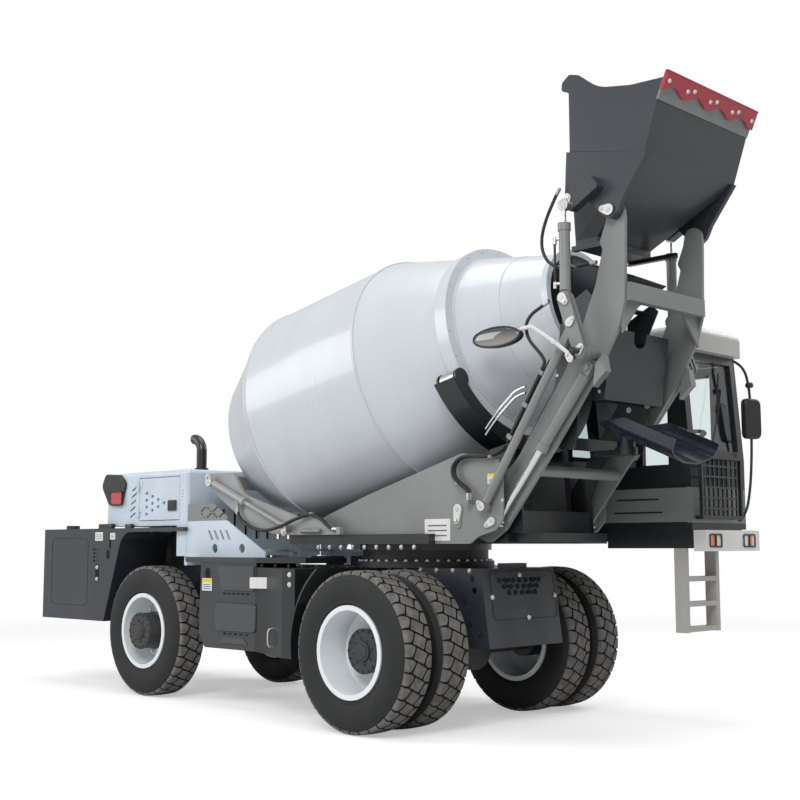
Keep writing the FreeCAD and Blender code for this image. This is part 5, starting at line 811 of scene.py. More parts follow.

# %% [markdown]
# ## Hoses
#
# A hose keeps the round section of its solid, but a real one has a crimped steel ferrule and a nut at its
# end. The route is a list of given points. A NURBS spline runs smoothly along them, and
# the tube takes its centre line from that curve.

# %% A line along a route, and a hose with its ends
def route_line(points, name, per=8):
    """Points of a NURBS spline of order 3 whose control points are the route's points."""
    curve = bpy.data.curves.new(name, "CURVE")
    curve.dimensions = "3D"
    spline = curve.splines.new("NURBS")
    spline.points.add(len(points) - 1)
    flat = np.concatenate([np.asarray(points, float), np.ones((len(points), 1))], axis=1)
    spline.points.foreach_set("co", flat.ravel())
    spline.order_u = 3
    spline.use_endpoint_u = True
    curve.resolution_u = per
    holder = bpy.data.objects.new(name, curve)
    mesh = bpy.data.meshes.new_from_object(holder)
    line = np.empty(len(mesh.vertices) * 3)
    mesh.vertices.foreach_get("co", line)
    bpy.data.objects.remove(holder)
    bpy.data.curves.remove(curve)
    bpy.data.meshes.remove(mesh)
    return line.reshape(-1, 3)


FERRULE_LINE = np.array([(0.0, 0.5), (0.0, 1.25), (0.9, 1.25), (0.9, 1.12), (1.1, 1.12), (1.1, 1.3),
                         (1.6, 1.3), (1.7, 1.2), (2.2, 1.2), (2.3, 1.3), (2.8, 1.3), (2.9, 1.2),
                         (3.4, 1.2), (3.5, 1.28), (4.2, 1.28), (4.3, 1.05), (4.3, 0.5)])


def ferrule(end, inward, radius):
    """A crimped sleeve with its nut over a hose's end, from the end along the hose."""
    return turned(FERRULE_LINE * radius, end, inward, "zinc", 18)


def hose(points, radius, name, up=(0.0, 1.0, 0.0), ends=(True, True)):
    """A hose along a route, with a ferrule at either end."""
    line = route_line(points, name)
    shapes = [swept(line, circle(radius, 14), "hose", up)]
    if ends[0]:
        shapes.append(ferrule(line[0], line[1] - line[0], radius))
    if ends[1]:
        shapes.append(ferrule(line[-1], line[-2] - line[-1], radius))
    return shapes


print("plates and hoses ready")

# %% [markdown]
# ## Hubs
#
# Each wheel is bolted to a planetary hub, a dark casting with a ring of bolts round its edge. It is one
# profile turned about the axle and slipped over the plain hub. A row of nuts holds the wheel disc, and one
# large cap closes the end.

# %% Hub castings with their bolts
HUB_LINE = [(0.024, 0.050), (0.024, 0.158), (0.046, 0.158), (0.050, 0.150), (0.150, 0.147), (0.154, 0.152),
            (0.176, 0.152), (0.181, 0.147), (0.181, 0.072), (0.192, 0.068), (0.194, 0.050)]
CAP_LINE = [(0.186, 0.002), (0.186, 0.052), (0.198, 0.048), (0.200, 0.002)]
HUB_FACE = 0.181
WHEEL_DISC = 0.012


def ring_of(centre, axis, radius, count, size, finish="zinc", phase=0.0):
    """Bolt heads evenly round a circle about an axis."""
    along, first, second = basis(axis)
    turn = phase + np.arange(count)[:, None] * 2 * np.pi / count
    places = centre + radius * (np.cos(turn) * first + np.sin(turn) * second)
    return bolt_heads(places, along, size, finish)


def hub_cover(centre, side):
    """The casting over a wheel's hub: flange, ribbed drum and end cap, outwards from the wheel disc."""
    axis = np.array([0.0, side, 0.0])
    face = centre + axis * HUB_FACE
    return [turned(HUB_LINE, centre, axis, "cast_dark", 64), turned(CAP_LINE, centre, axis, "cast_dark", 32),
            ring_of(face, axis, 0.136, 16, 0.013, "cast_dark"),
            ring_of(face, axis, 0.088, 8, 0.012, "cast_dark", 0.2),
            ring_of(centre + axis * WHEEL_DISC, axis, 0.186, 10, 0.028, "zinc", 0.1)]


for side_name, side, outer_y, inner_y, rear_y in WHEELS:
    disc_y = (outer_y + inner_y) / 2
    front_parts = hub_cover(at(0, disc_y, TYRE_R), side)
    rear_parts = hub_cover(at(REAR_X, rear_y - side * 0.015, TYRE_R), side)
    front_hub = piece(f"front_hub_{side_name}", *stacked(front_parts), f"front_wheels_{side_name}")
    rear_hub = piece(f"rear_hub_{side_name}", *stacked(rear_parts), f"rear_wheel_{side_name}")
print("hubs added:", 2 * len(WHEELS))

# %% [markdown]
# ## Dark holes and bolted covers
#
# The box at the chassis' nose is closed by a cover plate with three rows of air holes and four bolts. A
# hole that is not cut through is drawn by a thin dull black disc, which is painted shade: it stands for the
# dark a deep hole has. The cover's edge is a low raised line. The same two forms serve all over the machine.

# %% The nose cover and its holes
# Black films stand for openings that are not cut: their colour is painted shade.
FINISH["hole"] = moulded("painted shade of openings", (0.004, 0.004, 0.005), 0.95)
FINISH["seam"] = moulded("dark seams and painted groove shade", (0.012, 0.012, 0.014), 0.8)


def dark_holes(places, across, up, radius, stretch=1.0):
    """Dull black discs at places, round or stretched upwards: painted shade of holes that are not cut."""
    shape = circle(radius, 20) * [1.0, stretch]
    return [plate(shape, place, across, up, 0.0012, "hole", 0.0004) for place in places]


def seam(outline, place, across, up, width=0.003, finish="seam", height=0.0014):
    """A fine raised line that follows a closed outline on a flat face."""
    across, up, out = face_axes(across, up)
    line = place + outline[:, :1] * across + outline[:, 1:] * up
    half = width / 2
    section = np.array([(-half, -0.001), (half, -0.001), (half, height), (-half, height)])
    return swept(line, section, finish, out, True)


NOSE_LOW_Z = 0.551
NOSE_TOP_Z = 1.090
NOSE_LOW = at(0.5770, 0, NOSE_LOW_Z)
NOSE_TOP = at(0.5025, 0, NOSE_TOP_Z)
NOSE_ACROSS, NOSE_UP, NOSE_OUT = face_axes((0.0, 1.0, 0.0), NOSE_TOP - NOSE_LOW)
NOSE_ROWS = ((1.006, 7, -0.003), (0.963, 6, 0.003), (0.922, 5, 0.012))
NOSE_STEP = 0.072
NOSE_BOLTS = ((0.0, 1.041), (-0.318, 0.893), (0.372, 0.890), (0.05, 0.745))
WEB_HOLES = ((0.425, 1.020), (0.36, 0.86), (0.40, 0.71))
WEB_Y = 0.4025


def on_nose(across, height):
    """A point on the nose plate at a height over the ground."""
    share = (height - NOSE_LOW_Z) / (NOSE_TOP_Z - NOSE_LOW_Z)
    return NOSE_LOW + (NOSE_TOP - NOSE_LOW) * share + NOSE_ACROSS * across + NOSE_OUT * 0.004


hole_places = [on_nose(middle_y + (i - (count - 1) / 2) * NOSE_STEP, height)
               for height, count, middle_y in NOSE_ROWS for i in range(count)]
nose = [seam(rounded(0.70, 0.335, 0.03), on_nose(0.03, 0.905), NOSE_ACROSS, NOSE_UP)]
nose += dark_holes(hole_places, NOSE_ACROSS, NOSE_UP, 0.019)
nose.append(bolt_heads([on_nose(*place) for place in NOSE_BOLTS], NOSE_OUT, 0.018, "keeper"))
for side in (-1, 1):
    web = [at(x, side * WEB_Y, z) for x, z in WEB_HOLES]
    nose += dark_holes(web, (-side, 0, 0), (0, 0, 1), 0.02, 1.25)
nose_cover = piece("nose_cover", *stacked(nose), "chassis")
print("nose cover:", len(nose), "shapes")

# %% [markdown]
# ## Rows of bolts
#
# The slewing ring is bolted to chassis and turntable all the way round. The decks, brackets and side boxes
# are held by rows of bolts on their flanges. Each row is only two ends and a count, and all rows of one
# body make one piece.

# %% Bolts of chassis and turntable
SLEW_X = -0.4
FLANGE_Y = 0.871
RAIL_Y = 0.403
CHASSIS_ROWS = (((-1.28, 1.098), (-0.66, 1.098), 5, FLANGE_Y, 0.014, "cast_dark"),
                ((-1.00, 1.075), (0.40, 1.075), 10, RAIL_Y, 0.018, "zinc"),
                ((-0.97, 0.96), (-0.97, 1.04), 2, FLANGE_Y, 0.018, "zinc"))


def row(first, last, count):
    """Places evenly along a line."""
    return np.asarray(first) + (np.asarray(last) - np.asarray(first)) * np.linspace(0, 1, count)[:, None]


fixed_bolts = [ring_of(at(SLEW_X, 0, 1.135), (0, 0, 1), 0.495, 40, 0.02)]
for side in (-1, 1):
    fixed_bolts += [side_bolts(row(first, last, count), y, side, size, finish)
                    for first, last, count, y, size, finish in CHASSIS_ROWS]
chassis_bolts = piece("chassis_bolts", *stacked(fixed_bolts), "chassis")
deck_row = row((-0.90, 1.238), (0.10, 1.238), 9)
deck_bolts = piece("turntable_bolts", *side_bolts(deck_row, 0.641, -1, 0.018), "turntable")
print("bolt faces:", len(chassis_bolts.data.polygons) + len(deck_bolts.data.polygons))

# %% [markdown]
# ## Pins of the linkage
#
# Every pin of the arms, cranks and cylinders is kept from turning by an egg-shaped plate. They are painted
# white, so a driver sees at a glance that none is missing. Both sides of the machine are alike, so each
# body has one list of (x, z, distance from the middle, direction, sizes), and the left and right ones come
# from it.

# %% Keeper plates of each body
KEEPERS = {
    "turntable": [(0.460, 1.494, 0.5845, -98, 0.036, 0.024, 0.078),
                  (0.762, 1.408, 0.5845, 210, 0.028, 0.019, 0.052),
                  (0.725, 1.505, 0.6475, 130, 0.030, 0.016, 0.034),
                  (-1.200, 1.392, 0.7362, -75, 0.034, 0.026, 0.045),
                  (-2.150, 1.768, 0.7362, 105, 0.034, 0.026, 0.042)],
    "cranks": [(1.430, 2.812, 0.6576, -50, 0.031, 0.021, 0.038),
               (1.485, 2.645, 0.6576, 40, 0.028, 0.018, 0.030)],
    "arms": [(1.550, 2.455, 0.6592, 48, 0.030, 0.024, 0.030)],
    "hopper": [(1.430, 3.420, 0.6045, 72, 0.034, 0.028, 0.050),
               (1.720, 3.350, 0.5435, 165, 0.036, 0.020, 0.052)],
}
for body, places in KEEPERS.items():
    shapes = []
    for x, z, reach_y, turn, size, tail, reach in places:
        for side in (-1, 1):
            shapes += keeper(at(x, side * reach_y, z), turn, side, size, tail, reach)
    made = piece(f"pin_keepers_{body}", *stacked(shapes), body)
print("keeper plates:", sum(2 * len(places) for places in KEEPERS.values()))

# %% [markdown]
# ## The hoses on their routes
#
# Three groups of hoses show on the right side: one that loops under the drum's tail support, two that come
# down beside the side frame, and the bundle that runs up the tie rod to the tilt cylinder. Their routes are
# the same points as the solids' routes, in metres.

# %% Hoses of turntable, tie rod and tilt cylinder
TAIL_ROUTE = [(-1.800, -0.708, 1.556), (-1.800, -0.708, 1.508), (-1.744, -0.708, 1.450),
              (-1.660, -0.710, 1.408), (-1.550, -0.718, 1.378), (-1.420, -0.742, 1.366),
              (-1.290, -0.758, 1.376), (-1.165, -0.762, 1.408), (-1.045, -0.722, 1.458),
              (-0.925, -0.693, 1.484), (-0.815, -0.693, 1.452), (-0.745, -0.693, 1.402),
              (-0.690, -0.693, 1.368), (-0.626, -0.693, 1.368)]
LOOP_ROUTE = [(0.918, -0.600, 1.893), (0.860, -0.600, 1.858), (0.790, -0.600, 1.842),
              (0.700, -0.600, 1.838), (0.590, -0.600, 1.852), (0.500, -0.600, 1.836),
              (0.444, -0.600, 1.780), (0.452, -0.600, 1.712), (0.506, -0.600, 1.666),
              (0.580, -0.600, 1.624), (0.590, -0.600, 1.586), (0.590, -0.600, 1.552)]
CRANK_ROUTE = [(0.9461, -0.6325, 1.9225), (1.2572, -0.6325, 2.3882), (1.275, -0.642, 2.428),
               (1.238, -0.664, 2.490), (1.192, -0.684, 2.548), (1.164, -0.690, 2.612),
               (1.164, -0.690, 2.680), (1.212, -0.690, 2.732), (1.284, -0.690, 2.762),
               (1.352, -0.690, 2.796)]
ARM_ROUTE = [(0.9461, -0.6075, 1.9225), (1.2572, -0.6075, 2.3882), (1.304, -0.607, 2.440),
             (1.362, -0.607, 2.464)]
HOPPER_ROUTE = [(1.352, -0.560, 3.560), (1.296, -0.560, 3.474), (1.232, -0.556, 3.370),
                (1.190, -0.552, 3.262), (1.190, -0.545, 3.162), (1.236, -0.530, 3.078),
                (1.320, -0.512, 3.040), (1.430, -0.500, 3.034), (1.590, -0.500, 3.040)]
TAIL_HOSE_R = 0.013
HOSE_R = 0.011
CLAMP_R = 0.010
HOSE_STEP = (0, -0.025, 0)
PIPE_X = 1.378
PIPE_Y = -0.655
PIPE_LOW_Z = 2.876
PIPE_HIGH_Z = 3.210


def placed(route, shift=(0.0, 0.0, 0.0)):
    """A route in the frame's own metres, moved by a shift."""
    return np.asarray(route) + np.asarray(shift) + ZERO


deck_shapes = hose(placed(TAIL_ROUTE), TAIL_HOSE_R, "tail hose")
deck_shapes += hose(placed(LOOP_ROUTE), HOSE_R, "loop hose", ends=(False, True))
deck_shapes += hose(placed(LOOP_ROUTE, HOSE_STEP), HOSE_R, "loop hose beside it", ends=(False, True))
deck_hose_piece = piece("deck_hose_runs", *stacked(deck_shapes), "turntable")
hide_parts("deck_hoses")
rod_shapes = hose(placed(CRANK_ROUTE), HOSE_R, "crank hose", ends=(False, True))
rod_shapes += hose(placed(ARM_ROUTE), HOSE_R, "arm hose", ends=(False, True))
rod_hose_piece = piece("tie_rod_hose_runs", *stacked(rod_shapes), "tie_rods")
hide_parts("tie_rod_hoses")
pipe_low = at(PIPE_X, PIPE_Y, PIPE_LOW_Z)
pipe_high = at(PIPE_X, PIPE_Y, PIPE_HIGH_Z)
tilt_shapes = [swept(row(pipe_low, pipe_high, 6), circle(0.008, 12), "hose", (1.0, 0.0, 0.0)),
               ferrule(pipe_high, (0, 0, -1), HOSE_R), ferrule(pipe_low, (0, 0, 1), CLAMP_R)]
for height in (2.906, 3.198):
    clamp_arm = row(at(PIPE_X, PIPE_Y, height), at(1.405, -0.637, height), 3)
    tilt_shapes.append(swept(clamp_arm, circle(CLAMP_R, 12), "zinc"))
tilt_shapes += hose(placed(HOPPER_ROUTE), HOSE_R, "hopper hose")
hose_stay = row(at(1.430, -0.500, 3.034), at(1.430, -0.588, 3.034), 3)
tilt_shapes.append(swept(hose_stay, circle(CLAMP_R, 12), "zinc"))
tilt_hose_piece = piece("tilt_hose_runs", *stacked(tilt_shapes), "tilt_barrels")
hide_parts("tilt_hoses")
print("hose shapes:", len(deck_shapes) + len(rod_shapes) + len(tilt_shapes))

# %% [markdown]
# ## The round mirror
#
# The wide mirror lets the driver look down into the hopper. Its glass bulges, so it shows a small dark
# picture of everything around; its colour is also paler below as a painted reflection of the ground. The
# bulge is a shallow ellipsoid over the oval body, inside a rubber rim, and its stay is white.

# %% Mirror glass, rim and stay
def mirror_finish(name):
    """Dark glossy glass whose colour is paler below, a painted reflection of the ground."""
    finish = Finish(name, (0.05, 0.055, 0.065), 0.08, Coat_Weight=1.0, Coat_Roughness=0.03)
    height = finish.axis("Z").between(2.54, 2.66)
    finish.put("Base Color", finish.mixed(height, (0.30, 0.29, 0.28, 1.0), (0.02, 0.025, 0.035, 1.0)))
    return finish.material


FINISH["mirror_glass"] = mirror_finish("bulging mirror glass")
STAY_Y = -0.735
STAY = [(1.060, STAY_Y, 2.622), (1.240, STAY_Y, 2.640), (1.420, -0.730, 2.520), (1.550, -0.700, 2.406)]
STAY_JOINT = [(-0.016, 0.003), (-0.013, 0.0155), (0.013, 0.0155), (0.016, 0.003)]


def dome(centre, half_width, half_height, rise, side, finish, rings=10, steps=48):
    """A shallow ellipsoid cap: rings of an ellipse whose height falls with the cosine of a quarter turn."""
    fall = np.linspace(0.02, np.pi / 2, rings)[:, None]
    turn = full_turn(steps)[None, :]
    x = half_width * np.sin(fall) * np.cos(turn)
    z = half_height * np.sin(fall) * np.sin(turn)
    y = side * rise * np.cos(fall) + 0 * turn
    points = centre + np.stack([x, y, z], axis=-1)
    back = points[-1] + [0, -side * 0.004, 0]
    points = np.concatenate([points, back[None]])
    caps = np.stack([np.arange(steps), np.arange(steps) + rings * steps])
    return points.reshape(-1, 3), [(grid_faces(rings + 1, steps, False, True), finish), (caps, finish)]


mirror_face = at(0.963, -0.7555, 2.600)
turn = full_turn(56)
oval = np.stack([0.196 * np.cos(turn), 0 * turn, 0.064 * np.sin(turn)], axis=1)
mirror_parts = [dome(mirror_face, 0.190, 0.060, 0.022, -1, "mirror_glass"),
                swept(mirror_face + oval, circle(0.0075, 10), "plastic", (0, 1, 0), True)]
mirror_parts += [swept(row(at(*first), at(*last), 3), circle(0.0135, 16), "keeper")
                 for first, last in zip(STAY, STAY[1:])]
mirror_parts += [turned(STAY_JOINT, at(*corner), (0, 1, 0), "keeper", 20) for corner in STAY[1:-1]]
mirror_parts += keeper(at(1.545, STAY_Y, 2.400), 130, -1, 0.024, 0.018, 0.03)
mirror_piece = piece("mirror_glass_and_stay", *stacked(mirror_parts), "arms")
print("mirror shapes:", len(mirror_parts))

# %% [markdown]
# ## Plates on a side of the machine
#
# Most small pieces sit flat on a face that looks straight out to a side. `on_side` places an outline there
# by its distances forward, outwards and up, for either side at once, so that left and right stay mirror
# images. A label is a thin film with a coloured strip and a few grey lines in place of words.

# %% Pieces on the sides
FILM = 0.0012
PRINT = 0.0006


def on_side(outline, x, y, z, side, thickness, finish, chamfer=0.001):
    """An outline of (forward, up) on a face that looks to a side, y metres from the machine's middle."""
    outline = np.asarray(outline, float) * [-side, 1]
    return plate(outline, at(x, side * y, z), (-side, 0, 0), (0, 0, 1), thickness, finish, chamfer)


def side_hole(outline, x, y, z, side):
    """A film in the shape of an opening, dull black as painted shade, so that it looks deep."""
    return on_side(outline, x, y, z, side, FILM, "hole", 0.0004)


def side_seam(outline, x, y, z, side, *look):
    """A raised line round an outline on a side. Its look is width, finish and height, as for any seam."""
    return seam(outline * [-side, 1], at(x, side * y, z), (-side, 0, 0), (0, 0, 1), *look)


def label(x, y, z, side, width, height, strip=None):
    """A film label: white, with a coloured strip on top and three grey lines below it."""
    shapes = [on_side(rounded(width, height, 0.004), x, y, z, side, FILM, "label_white", 0.0003)]
    top = height * 0.30 if strip else 0.0
    if strip:
        strip_shape = rounded(width * 0.94, top, 0.003)
        shapes.append(on_side(strip_shape, x, y + FILM, z + height * 0.32, side, PRINT, strip, 0.0002))
    line = rounded(width * 0.74, height * 0.07, 0.001)
    for share in (0.72, 0.46, 0.20):
        line_z = z - height * 0.44 + (height * 0.88 - top) * share
        shapes.append(on_side(line, x, y + FILM, line_z, side, PRINT, "film_grey", 0.0002))
    return shapes


FINISH["film_grey"] = moulded("grey print", (0.16, 0.16, 0.17), 0.5)
FINISH["box_panel"] = paint("side box covers", (0.054, 0.057, 0.062), 0.40, 0.2, 0.05, 0.0003)

# %% [markdown]
# ## Hood, lamps and tanks
#
# The hood's doors have a black flush latch, and a label beside it. The tail lamps wrap round the corners:
# each housing holds a red lens to the side and one to the rear. The tanks have a lid, an oval hole and a
# lifting slot.

# %% Details of hood and tanks
TANK_Y = 0.800
HOOD_SIDE_Y = 0.7505
DOOR_FACE_Y = 0.758
LID_PLACE = (0.778, 1.4055)
LENS_Y = 0.7715
LENS_Z = 1.668
LENS_X = -3.442
REAR_LENS_UP = (-0.12, 0.0, 0.168)
LATCH_X = -2.621
LATCH_FRAME = rounded(0.130, 0.090, 0.010)
LATCH_FLAP = rounded(0.086, 0.048, 0.010)
TANK_HOLES = [(circle(0.030, 24) * [1.0, 1.45], -3.520, 1.176),
              (rounded(0.030, 0.150, 0.012), -3.490, 1.300), (rounded(0.060, 0.165, 0.028), -3.690, 1.010)]
SIDE_LENS = rounded(0.155, 0.104, 0.014)
REAR_LENS = rounded(0.150, 0.110, 0.014)
LENS_FRAME = rounded(0.170, 0.118, 0.016)
hood_parts = []
for side in (-1, 1):
    rear_lens = at(-3.6285, side * 0.668, 1.694)
    hood_parts += [on_side(SIDE_LENS, LENS_X, LENS_Y, LENS_Z, side, 0.012, "lens_red", 0.003),
                   side_seam(LENS_FRAME, LENS_X, LENS_Y + 0.001, LENS_Z, side, 0.010, "plastic", 0.008),
                   plate(REAR_LENS, rear_lens, (0, -1, 0), REAR_LENS_UP, 0.014, "lens_red", 0.003)]
    hood_parts += label(-2.484, HOOD_SIDE_Y, 1.690, side, 0.020, 0.118)
    for x, length, height in ((-3.585, 0.215, 0.040), (-3.222, 0.095, 0.034)):
        lid = rounded(length, 0.040, 0.008)
        place = at(x, side * LID_PLACE[0], LID_PLACE[1])
        hood_parts.append(plate(lid, place, (1, 0, 0), (0, 1, 0), height, "plastic", 0.006))
    hood_parts += label(-3.672, TANK_Y + 0.0005, 1.335, side, 0.125, 0.076)
    hood_parts += label(-3.452, TANK_Y + 0.0005, 1.336, side, 0.082, 0.058)
    # The oval hole and the slots of the tanks are black films, painted shade where nothing is cut.
    hood_parts += [side_hole(shape, x, TANK_Y, z, side) for shape, x, z in TANK_HOLES]
    hood_parts += [side_bolts([(-3.690, 1.062), (-3.690, 0.958)], TANK_Y + 0.001, side, 0.020, "keeper"),
                   side_seam(rounded(0.62, 0.60, 0.05), -4.16, TANK_Y, 1.02, side, 0.004)]
hood_details = piece("hood_and_tank_fittings", *stacked(hood_parts), "chassis")

for side_name, side in SIDES:
    shapes = [on_side(LATCH_FRAME, LATCH_X, DOOR_FACE_Y, 1.588, side, 0.003, "plastic", 0.001),
              on_side(LATCH_FLAP, LATCH_X, DOOR_FACE_Y + 0.003, 1.590, side, 0.004, "black", 0.0015)]
    latch = piece(f"hood_latch_{side_name}", *stacked(shapes), f"hood_door_{side_name}")
print("hood fittings:", len(hood_parts), "shapes and a latch on either door")

# %% [markdown]
# ## Side boxes
#
# Covers are pressed so that their middle stands out, which keeps thin plate stiff. Rows of short vents lie
# under each one, drawn as black films of painted shade. In front of them the box flares out to the front
# fender, with a grab handle on the flare; there its paint turns black as painted shade of the recessed
# flare.

# %% Covers, vents and labels of the side boxes
BOX_Y = 0.8702
MIDDLE_COVER = rounded(0.500, 0.215, 0.035)
UPPER_COVER = [(-1.826, 1.096), (-1.372, 1.096), (-1.372, 0.905), (-1.745, 0.905), (-1.782, 0.950)]
LOWER_COVER = [(-1.800, 0.500), (-1.440, 0.500), (-1.500, 0.548), (-1.745, 0.548)]
BOX_COVERS = [(UPPER_COVER, 0.012, 0.006), (LOWER_COVER, 0.010, 0.005),
              (MIDDLE_COVER + [-1.596, 0.700], 0.012, 0.006)]
VENT = np.array([(-0.012, -0.006), (0.024, -0.006), (0.034, 0.008), (-0.002, 0.008)])
VENTS = [(-1.752 + 0.0575 * i, 0.880) for i in range(6)] + [(-1.742 + 0.0675 * i, 0.572) for i in range(5)]
GRIP = [(0.520, 0.0), (0.522, 0.022), (0.540, 0.034), (0.585, 0.036), (0.630, 0.034), (0.648, 0.022),
        (0.650, 0.0)]
FLARE_LABEL = rounded(0.280, 0.082, 0.006)
FLARE_PRINT = rounded(0.110, 0.060, 0.004)
UP = np.array([0.0, 0.0, 1.0])
side_parts = []
for side in (-1, 1):
    side_parts += [on_side(shape, 0.0, BOX_Y, 0.0, side, rise, "box_panel", bevel)
                   for shape, rise, bevel in BOX_COVERS]
    # The opening and the vents below are black films, painted shade where nothing is cut.
    side_parts += [side_seam(MIDDLE_COVER, -1.596, BOX_Y + 0.0003, 0.700, side, 0.004),
                   side_hole(rounded(0.066, 0.080, 0.022), -1.962, BOX_Y, 1.036, side)]
    side_parts += [on_side(VENT + vent, 0.0, BOX_Y, 0.0, side, 0.0014, "hole", 0.0004) for vent in VENTS]
    side_parts += label(-1.968, BOX_Y + 0.0003, 0.946, side, 0.126, 0.098, "label_yellow")
    flare_across = np.array([-side * 0.93, 0.37, 0.0])
    flare_out = np.array([-0.37, side * 0.93, 0.0])
    flare_place = at(-1.110, side * 0.965, 0.975) + flare_out * 0.003
    print_place = flare_place + flare_out * 0.0014 + flare_across * 0.06
    grip = [at(-0.968, side * 1.022, z) + flare_out * reach for z, reach in GRIP]
    side_parts += [plate(FLARE_LABEL, flare_place, flare_across, UP, 0.0014, "label_white", 0.0004),
                   plate(FLARE_PRINT, print_place, flare_across, UP, 0.0008, "film_grey", 0.0002),
                   swept(grip, circle(0.007, 10), "zinc", (1.0, 0.0, 0.0)),
                   side_bolts([(-0.690, 1.044), (-0.690, 0.974)], 1.1005, side, 0.020, "keeper")]
side_fittings = piece("side_box_fittings", *stacked(side_parts), "chassis")
print("side box fittings:", len(side_parts), "shapes")

# %% [markdown]
# ## Labels and pins of the side frames
#
# The side frame carries a white rating plate and a small warning film above it, both without words. A steel
# pin that locks the drum's tail in transport stands in a pocket behind.

# %% Side frame labels and the locking pin
SIDE_FRAME_Y = 0.5765
LOCK_PIN = [(0.0, 0.001), (0.0, 0.016), (0.215, 0.016), (0.220, 0.001)]
frame_parts = []
for side in (-1, 1):
    frame_parts += label(0.262, SIDE_FRAME_Y, 1.356, side, 0.240, 0.150)
    frame_parts += label(0.762, SIDE_FRAME_Y, 1.690, side, 0.078, 0.066, "label_yellow")
    frame_parts += [turned(LOCK_PIN, at(-1.030, side * 0.700, 1.358), (1, 0, 0), "arm_grey", 24),
                    side_bolts([(0.850, 1.545), (0.445, 1.680)], SIDE_FRAME_Y, side, 0.016)]
frame_fittings = piece("side_frame_labels", *stacked(frame_parts), "turntable")
print("side frame fittings:", len(frame_parts), "shapes")

# %% [markdown]
# ## The hopper's edge
#
# The edge that digs is a bolted strip with a wavy lower line, so that a worn one can be changed. The wave
# is a cosine along the strip, four waves in its whole length. Round-headed bolts follow it in pairs, and
# grey plate shows below it.

# %% Wavy edge strip over its base plate
EDGE_HALF = 0.541
EDGE_UP = np.array([0.40, 0.0, 0.9165])
LEFTWARDS = np.array([0.0, 1.0, 0.0])
EDGE_OUT = np.cross(LEFTWARDS, EDGE_UP)
EDGE_PLACE = at(2.174, 0.0, 4.111)
EDGE_TOP = 0.030
EDGE_BOLTS = np.array([-0.50, -0.285, -0.215, -0.02, 0.05, 0.25, 0.32, 0.50])
BOLT_DOME = [(0.0, 0.001), (0.0, 0.015), (0.007, 0.012), (0.010, 0.001)]


def on_edge(across, up, out=0.0):
    """Points in the strip's plane, for arrays of distances across the machine, up the strip and outwards."""
    across, up = np.broadcast_arrays(across, up)
    flat = across[..., None] * LEFTWARDS + up[..., None] * EDGE_UP
    return EDGE_PLACE + flat + out * EDGE_OUT


def edge_wave(across, middle_up, height):
    """The cosine that the strip's lower line and its bolts follow."""
    return middle_up - height * np.cos(across / EDGE_HALF * np.pi * 4 + 0.6)


edge_across = np.linspace(-EDGE_HALF, EDGE_HALF, 81)
share = np.linspace(0, 1, 4)[:, None]
strip_up = EDGE_TOP + (edge_wave(edge_across, -0.078, 0.022) - EDGE_TOP) * share
lip = np.array([(-0.004, -0.012), (0.004, -0.012), (0.004, 0.006), (-0.004, 0.006)])
base_up = np.linspace(0.020, -0.155, 3)[:, None]
base_across = np.linspace(-EDGE_HALF + 0.004, EDGE_HALF - 0.004, 9)
edge_parts = [slab(on_edge(edge_across, strip_up, 0.002), on_edge(edge_across, strip_up, -0.020), "red"),
              swept(on_edge(edge_across, 0.026), lip, "red", EDGE_OUT),
              slab(on_edge(base_across, base_up, -0.014), on_edge(base_across, base_up, -0.026), "arm_grey")]
edge_parts += [turned(BOLT_DOME, place, EDGE_OUT, "keeper", 16)
               for place in on_edge(EDGE_BOLTS, edge_wave(EDGE_BOLTS, -0.030, 0.014), 0.002)]
edge_piece = piece("wavy_cutting_edge", *stacked(edge_parts), "hopper")
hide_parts("cutting_edge")
print("edge shapes:", len(edge_parts), "faces", len(edge_piece.data.polygons))

# %% [markdown]
# ## The front of the cab
#
# Lamps sit in the bumper's recesses, amber outside and clear inside, each with a black frame. The lower
# side panel has two pressed grooves between two long seams. A wiper lies on the glass, and a mirror hangs
# on a long bent arm.

# %% Lamps, wiper, grooves and cab mirror
LAMP_X = 1.5425
LAMP_FRAME_X = 1.5602
LAMP_Z = 1.278
LAMP_SHAPE = rounded(0.068, 0.074, 0.008)
LAMP_FRAME = rounded(0.074, 0.086, 0.010)
CAB_SIDE_Y = -0.7638
BUMPER_LAMPS = ((0.844, "lens_amber"), (0.924, "lens_clear"), (1.304, "lens_clear"), (1.384, "lens_amber"))
CAB_GROOVES = ((1.000, 1.574, 0.36, 0.012, FILM, 0.0004), (1.000, 1.480, 0.42, 0.012, FILM, 0.0004),
               (0.960, 1.655, 0.90, 0.006, 0.0010, 0.0003), (0.960, 1.407, 0.90, 0.006, 0.0010, 0.0003))
WIPER = [(1.466, 1.000, 1.930), (1.476, 1.030, 2.000), (1.470, 1.110, 2.180), (1.452, 1.200, 2.380)]
MIRROR_ARM = [(1.450, 1.380, 2.610), (1.500, 1.435, 2.580), (1.520, 1.485, 2.440), (1.520, 1.502, 2.200),
              (1.515, 1.502, 1.900), (1.500, 1.490, 1.650), (1.480, 1.455, 1.470), (1.452, 1.410, 1.425)]
WIPER_HUB = [(0.0, 0.001), (0.0, 0.020), (0.024, 0.017), (0.026, 0.001)]
CLAMP = [(-0.020, 0.001), (-0.018, 0.024), (0.0, 0.032), (0.018, 0.024), (0.020, 0.001)]
HEAD_OUT = np.array([0.25, 0.97, 0.0])


